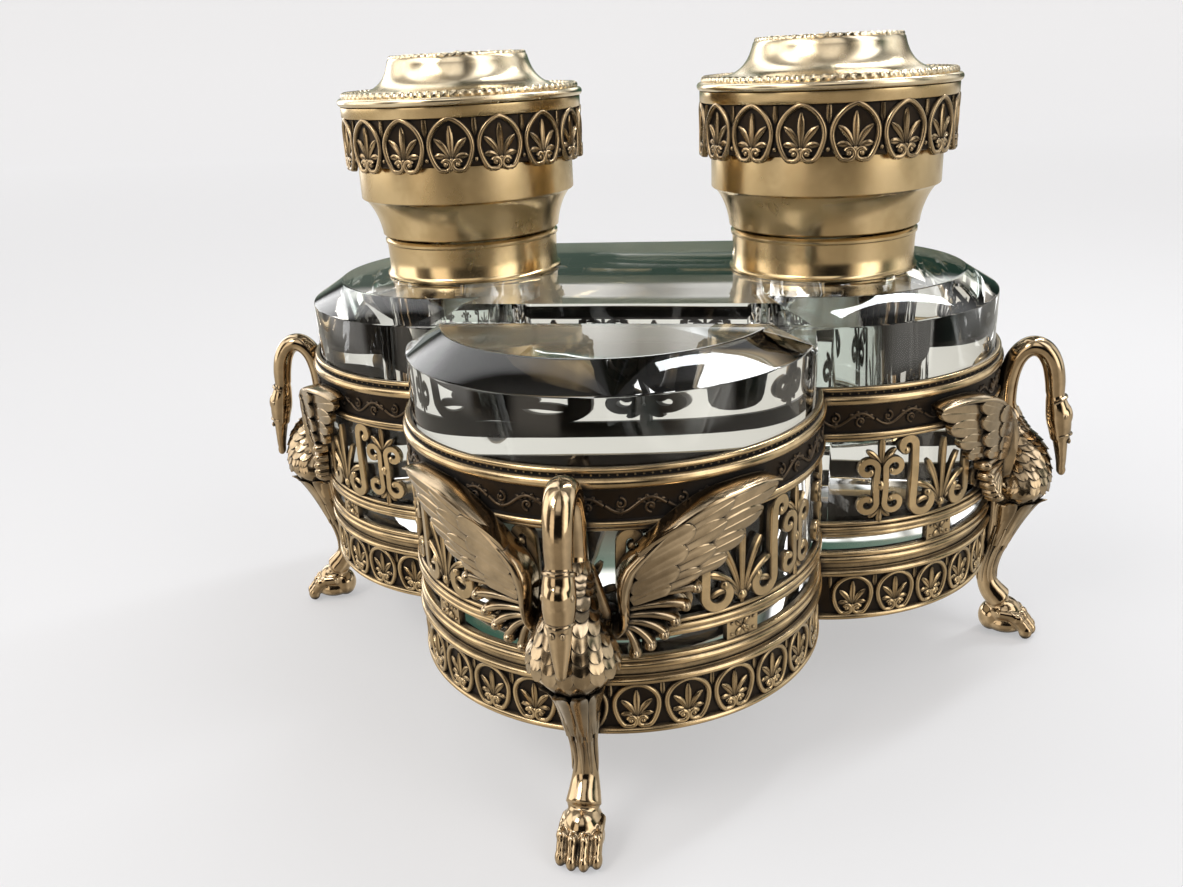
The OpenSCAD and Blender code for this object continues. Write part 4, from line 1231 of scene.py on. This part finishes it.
def wing():
    """One wing, spread to +s, in degrees from the swan and height."""
    def at(deg, z):
        return (deg * DEG, z)
    shape = Shape()
    # long primaries under the coverts, lapped like slates from the leading edge down
    for base, tip, width, sag, lift in (((20, 46.4), (35.5, 49.4), 1.55, -0.3, 0.0),
                                        ((20, 48.4), (40.0, 52.6), 1.75, -0.4, 0.3),
                                        ((20, 51.0), (44.6, 56.0), 1.9, -0.5, 0.6),
                                        ((20, 54.2), (48.6, 59.4), 2.0, -0.6, 0.9)):
        shape.join(feather(at(*base), at(*tip), width, sag, 0.8, (lift, lift)))
    # covert panel with a scalloped end
    for base, tip, width, sag, lift in (((12.5, 44.8), (28.2, 48.6), 1.5, -0.3, 1.2),
                                        ((12.5, 46.6), (31.4, 52.2), 1.8, -0.4, 1.5),
                                        ((13.5, 49.2), (33.8, 56.2), 1.9, -0.5, 1.8),
                                        ((15, 52.4), (35.4, 59.6), 1.8, -0.5, 2.1)):
        shape.join(feather(at(*base), at(*tip), width, sag, 0.7, (lift, lift)))
        mid = np.array(at(*base)) * 0.45 + np.array(at(*tip)) * 0.55
        shape.join(feather(at(*base), tuple(mid), width * 0.95, 0.6 * sag, 0.5, (lift + 0.4, lift + 0.45)))
    # fan of short curled feathers below, each with a rounded knob at its tip
    for tip, bend in (((13.4, 35.4), 1.6), ((16.8, 36.6), 1.5), ((20.0, 38.3), 1.4),
                      ((22.6, 40.4), 1.2), ((25.0, 42.8), 1.0),
                      ((27.6, 45.6), 0.7)):
        tx, tz = at(*tip)
        bx, bz = 7.4 + 0.1 * (tx - 7.4), 41.2 + 0.5 * (tz - 39)
        line = bezier([(bx, bz), (bx + 0.5 * (tx - bx), bz + 0.5 * (tz - bz) + bend),
                       (tx, tz + 0.5 * bend), (tx, tz - 0.3)], 12)
        n = len(line)
        shape.join(ribbon(line, np.linspace(0.62, 0.92, n), np.linspace(1.2, 1.7, n), ROUND_SECTION, 1.0))
        shape.join(boss(tx - 0.25, tz - 0.1, 1.1, 2.1, 14, 5, 1.0))
    # thick rounded leading edge that hooks round to a knob beside the breast
    edge = np.concatenate([bezier([(4.6, 40.2), (4.9, 38.3), (7.6, 38.4), (7.5, 42.2)], 12),
                           bezier([(7.5, 42.2), (7.5, 45.4), (6.9, 47.2), (8.6, 50.4)], 9, True),
                           bezier([(8.6, 50.4), (12.2, 54.8), (17.0, 59.2), at(34, 60.3)], 14, True),
                           bezier([at(34, 60.3), at(40, 61.0), at(46, 61.2), at(49, 60.2)], 8, True)])
    n = len(edge)
    k = np.arange(n)
    shape.join(ribbon(edge, np.interp(k, [0, 8, 14, 19, 24, 34, n - 1],
                                      [0.62, 0.55, 0.95, 1.35, 0.9, 0.8, 0.4]),
                           np.interp(k, [0, 8, 14, 19, 26, 34, n - 1], [2.6, 2.4, 3.4, 3.6, 3.0,
                                                                        2.9, 2.0]), ROUND_SECTION, 1.2))
    shape.join(boss(4.7, 40.0, 0.95, 3.2, 12, 4, 1.2))
    return shape


def build_wings(side):
    name = SIDE_NAMES[side]
    one = wing()
    both = Shape()
    for s in (1, -1):
        both.join(one.moved(lambda p: p * np.array([s, 1, 1])).moved(on_lobe(side, SWAN_TURNS[side], WING_R)))
    piece("wing_feathers_" + name, both, FEATHER_GILT, "gallery", "cast_gilt", "wings_" + name)


# ---------------------------------------------------------------- make the object

build_rim()
build_frieze()
build_rails()
build_panels()
build_skirt()
for which in (FRONT, LEFT, RIGHT):
    build_swan(which)
    build_wings(which)
for which in (LEFT, RIGHT):
    build_cover(which)
    build_collar(which)
build_crystal()

edge_r, low_z, high_z = INNER_R - 0.02, plate_low[2], plate_high[2]
plate_edge = [(edge_r - 0.38, low_z), (edge_r, low_z + 0.3), (edge_r, high_z - 0.1), (edge_r - 0.38, high_z)]
plate = moulding(plate_edge, 60, closed=False)
loop = len(around(INNER_R, 60))
plate.faces.append(tuple(i * 4 for i in range(loop)))
plate.faces.append(tuple(i * 4 + 3 for i in reversed(range(loop))))
gallery_piece("floor_plate", plate, "base_plate", material=PALE_PLATE_PAINTED_LIGHT)
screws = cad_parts["swan_screws"].data
screws.materials.clear()
screws.materials.append(PIN_BRASS)

# ---------------------------------------------------------------- floor, light and camera


def pale_backdrop():
    """Floor that sweeps up into a back wall, evenly pale. Polished faces and glass show the room instead."""
    material, tree, coords, shader = new_material("pale_backdrop")
    tree.put(shader["Base Color"], (0.41, 0.41, 0.42))
    tree.put(shader["Roughness"], 0.8)
    tree.put(shader["Specular IOR Level"], 0.1)
    tree.put(shader["Emission Color"], (0.985, 0.985, 1.0))
    # the far wall gets less lamp light, so it glows a little more
    depth = tree.node("SeparateXYZ", Vector=coords).outputs["Y"]
    tree.put(shader["Emission Strength"], tree.scaled(depth, 0.1, 1.6, 0.42, 0.50))
    section = [(-3.0, 0.0), (1.2, 0.0)] + [(1.2 + 0.8 * math.sin(a), 0.8 - 0.8 * math.cos(a))
                                            for a in np.linspace(0.05, math.pi / 2, 24)] + [(2.0, 4.0)]
    verts = [(x, y, z) for y, z in section for x in (-5.0, 5.0)]
    mesh = bpy.data.meshes.new("pale_backdrop")
    mesh.from_pydata(verts, [], [(2 * i, 2 * i + 1, 2 * i + 3, 2 * i + 2) for i in range(len(section) - 1)])
    for polygon in mesh.polygons:
        polygon.use_smooth = True
    backdrop = bpy.data.objects.new("pale_backdrop", mesh)
    mesh.materials.append(material)
    backdrop.visible_glossy = backdrop.visible_transmission = False
    bpy.context.collection.objects.link(backdrop)


def area_light(name, place, size, power, colour):
    """A lamp aimed at the middle of the object."""
    light = bpy.data.lights.new(name, "AREA")
    light.shape = "RECTANGLE"
    light.size, light.size_y = size
    light.energy = power
    light.color = colour
    obj = bpy.data.objects.new(name, light)
    obj.location = place
    obj.rotation_euler = (Vector((0, 0, 0.055)) - Vector(place)).to_track_quat("-Z", "Y").to_euler()
    obj.visible_camera = False
    bpy.context.collection.objects.link(obj)


pale_backdrop()


def build_room():
    """What polished faces and glass see: a pale table, walls with windows, and a ceiling with lamps."""
    world = bpy.data.worlds.new("studio")
    bpy.context.scene.world = world
    world.use_nodes = True
    tree = Tree(world.node_tree)
    way = tree.node("SeparateXYZ", Vector=tree.coords("Generated")).outputs
    # share goes round the compass, 0.5 straight in front of the object; height goes from 0 down to 1 up
    compass = tree.math("ARCTAN2", way["X"], tree.math("MULTIPLY", way["Y"], -1.0))
    share = tree.scaled(compass, -math.pi, math.pi, 0.0, 1.0)
    height = tree.scaled(way["Z"], -1.0, 1.0, 0.0, 1.0)
    dark, green, tan = (0.012, 0.011, 0.010), (0.05, 0.09, 0.07), (0.30, 0.25, 0.20)
    rear_green, white = (0.05, 0.115, 0.08), (3.4, 3.4, 3.4)
    walls = tree.ramp(share, [
        (0.00, rear_green), (0.09, (0.3, 0.36, 0.3)), (0.105, dark), (0.115, white), (0.16, white),
        (0.175, dark), (0.215, (2.3, 2.2, 2.05)), (0.30, (2.2, 2.1, 1.95)), (0.315, tan),
        (0.37, dark), (0.39, (1.5, 1.35, 1.15)), (0.445, (1.4, 1.25, 1.05)), (0.455, dark), (0.59, dark),
        (0.60, tan), (0.62, (0.95, 0.85, 0.7)), (0.645, (2.6, 2.5, 2.3)), (0.70, (2.5, 2.4, 2.2)),
        (0.715, dark), (0.75, green), (0.79, (1.3, 1.3, 1.25)), (0.86, (0.9, 0.9, 0.88)), (0.90, dark),
        (0.94, green), (1.0, rear_green)])
    lamps = tree.ramp(share, [
        (0.0, dark), (0.012, (0.42, 0.30, 0.20)), (0.02, dark), (0.045, (0.2, 0.15, 0.11)), (0.06, dark),
        (0.075, (1.9, 1.9, 1.9)), (0.17, (2.0, 2.0, 2.0)), (0.18, dark),
        (0.25, dark), (0.27, (2.4, 2.4, 2.4)),
        (0.36, (2.4, 2.4, 2.4)), (0.37, (0.1, 0.1, 0.1)), (0.46, (0.08, 0.08, 0.08)),
        (0.47, (1.4, 1.33, 1.24)),
        (0.56, (1.4, 1.33, 1.24)), (0.58, dark), (0.64, dark),
        (0.65, (2.6, 2.6, 2.7)), (0.74, (2.6, 2.6, 2.7)),
        (0.75, (0.1, 0.1, 0.1)), (0.85, (0.15, 0.15, 0.15)), (0.86, (1.5, 1.5, 1.5)), (0.93, (1.5, 1.5, 1.5)),
        (0.935, dark), (0.955, (0.3, 0.22, 0.16)), (0.965, dark), (0.98, (0.10, 0.08, 0.06)),
        (0.988, (0.9, 0.9, 0.95)), (0.994, dark), (1.0, dark)])
    ceiling = tree.mix(1.0, lamps, tree.ramp(height, [(0.93, 1.0), (0.97, 0.3)]), "MULTIPLY")
    floor = tree.ramp(height, [(0.0, (0.05, 0.042, 0.036)),
                               (0.2, (0.10, 0.085, 0.07)), (1.0, (0.1, 0.1, 0.1))])
    overhead = tree.mix(tree.ramp(height, [(0.70, 0.0), (0.80, 1.0)]), floor, ceiling)
    band = tree.ramp(height, [(0.06, 0.0), (0.16, 0.6), (0.24, 1.0), (0.72, 1.0), (0.80, 0.2)])
    room = tree.mix(band, overhead, walls)
    # a row of bright panes low in the rear wall, which the top of the crystal mirrors
    panes = tree.ramp(share, [
        (0.0, (1.8, 1.8, 1.75)), (0.015, (1.7, 1.7, 1.65)), (0.022, (0.5, 0.5, 0.46)),
        (0.03, (2.0, 2.0, 1.95)),
        (0.05, (1.6, 1.55, 1.45)), (0.06, (0.3, 0.3, 0.28)), (0.07, (1.6, 1.55, 1.45)), (0.085, dark),
        (0.915, dark), (0.925, (1.7, 1.65, 1.5)), (0.95, (1.9, 1.9, 1.85)), (0.957, (0.5, 0.5, 0.46)),
        (0.965, (1.8, 1.8, 1.75)), (1.0, (1.8, 1.8, 1.75))])
    row = tree.ramp(height, [(0.612, 0.0), (0.622, 1.0), (0.70, 1.0), (0.72, 0.0)])
    behind = tree.ramp(share, [(0.085, 1.0), (0.09, 0.0), (0.91, 0.0), (0.915, 1.0)])
    room = tree.mix(tree.math("MULTIPLY", row, behind), room, panes)
    table = tree.ramp(share, [
        (0.0, (0.78, 0.76, 0.70)), (0.2, (0.62, 0.58, 0.50)), (0.36, (0.8, 0.75, 0.66)),
        (0.46, (0.42, 0.37, 0.30)),
        (0.58, (0.36, 0.32, 0.26)), (0.66, (0.75, 0.70, 0.62)), (0.84, (0.5, 0.48, 0.43)),
        (1.0, (0.78, 0.76, 0.70))])
    low_down = tree.ramp(height, [(0.0, 0.4), (0.2, 1.0), (0.44, 1.0), (0.47, 0.0)])
    backing = tree.nodes["Background"]
    tree.put(backing.inputs["Color"], tree.mix(low_down, room, table))
    backing.inputs["Strength"].default_value = 1.0


build_room()
area_light("key_light", (-0.35, -0.45, 0.62), (0.25, 0.25), 1.6, (1.0, 0.97, 0.92))
area_light("window_strip", (0.20, 0.18, 0.47), (0.03, 0.34), 0.8, (0.94, 0.97, 1.0))


def build_camera(place, azimuth, elevation, roll, lens):
    """Camera at a place in metres, looking along a bearing; angles in degrees."""
    azimuth, elevation, roll = np.radians([azimuth, elevation, roll])
    back = Vector((math.sin(azimuth) * math.cos(elevation), -math.cos(azimuth) * math.cos(elevation),
                   math.sin(elevation)))
    right = Vector((math.cos(azimuth), math.sin(azimuth), 0))
    up = back.cross(right)
    rolled_right = right * math.cos(roll) - up * math.sin(roll)
    rolled_up = up * math.cos(roll) + right * math.sin(roll)
    data = bpy.data.cameras.new("photo_camera")
    data.sensor_width, data.lens = 36, lens
    data.clip_start, data.clip_end = 0.005, 20
    camera = bpy.data.objects.new("photo_camera", data)
    turn = Matrix((rolled_right, rolled_up, back)).transposed().to_4x4()
    camera.matrix_world = Matrix.Translation(place) @ turn
    bpy.context.collection.objects.link(camera)
    bpy.context.scene.camera = camera


build_camera((0.03264, -0.1908, 0.1231), 11.79, 20.57, 2.85, 31.79)

scene = bpy.context.scene
scene.view_settings.view_transform = "Standard"
scene.view_settings.look = "None"
scene.cycles.use_denoising = True
scene.cycles.max_bounces = 24
scene.cycles.transmission_bounces = 20
scene.cycles.transparent_max_bounces = 12
scene.cycles.caustics_refractive = True

bpy.context.view_layer.update()
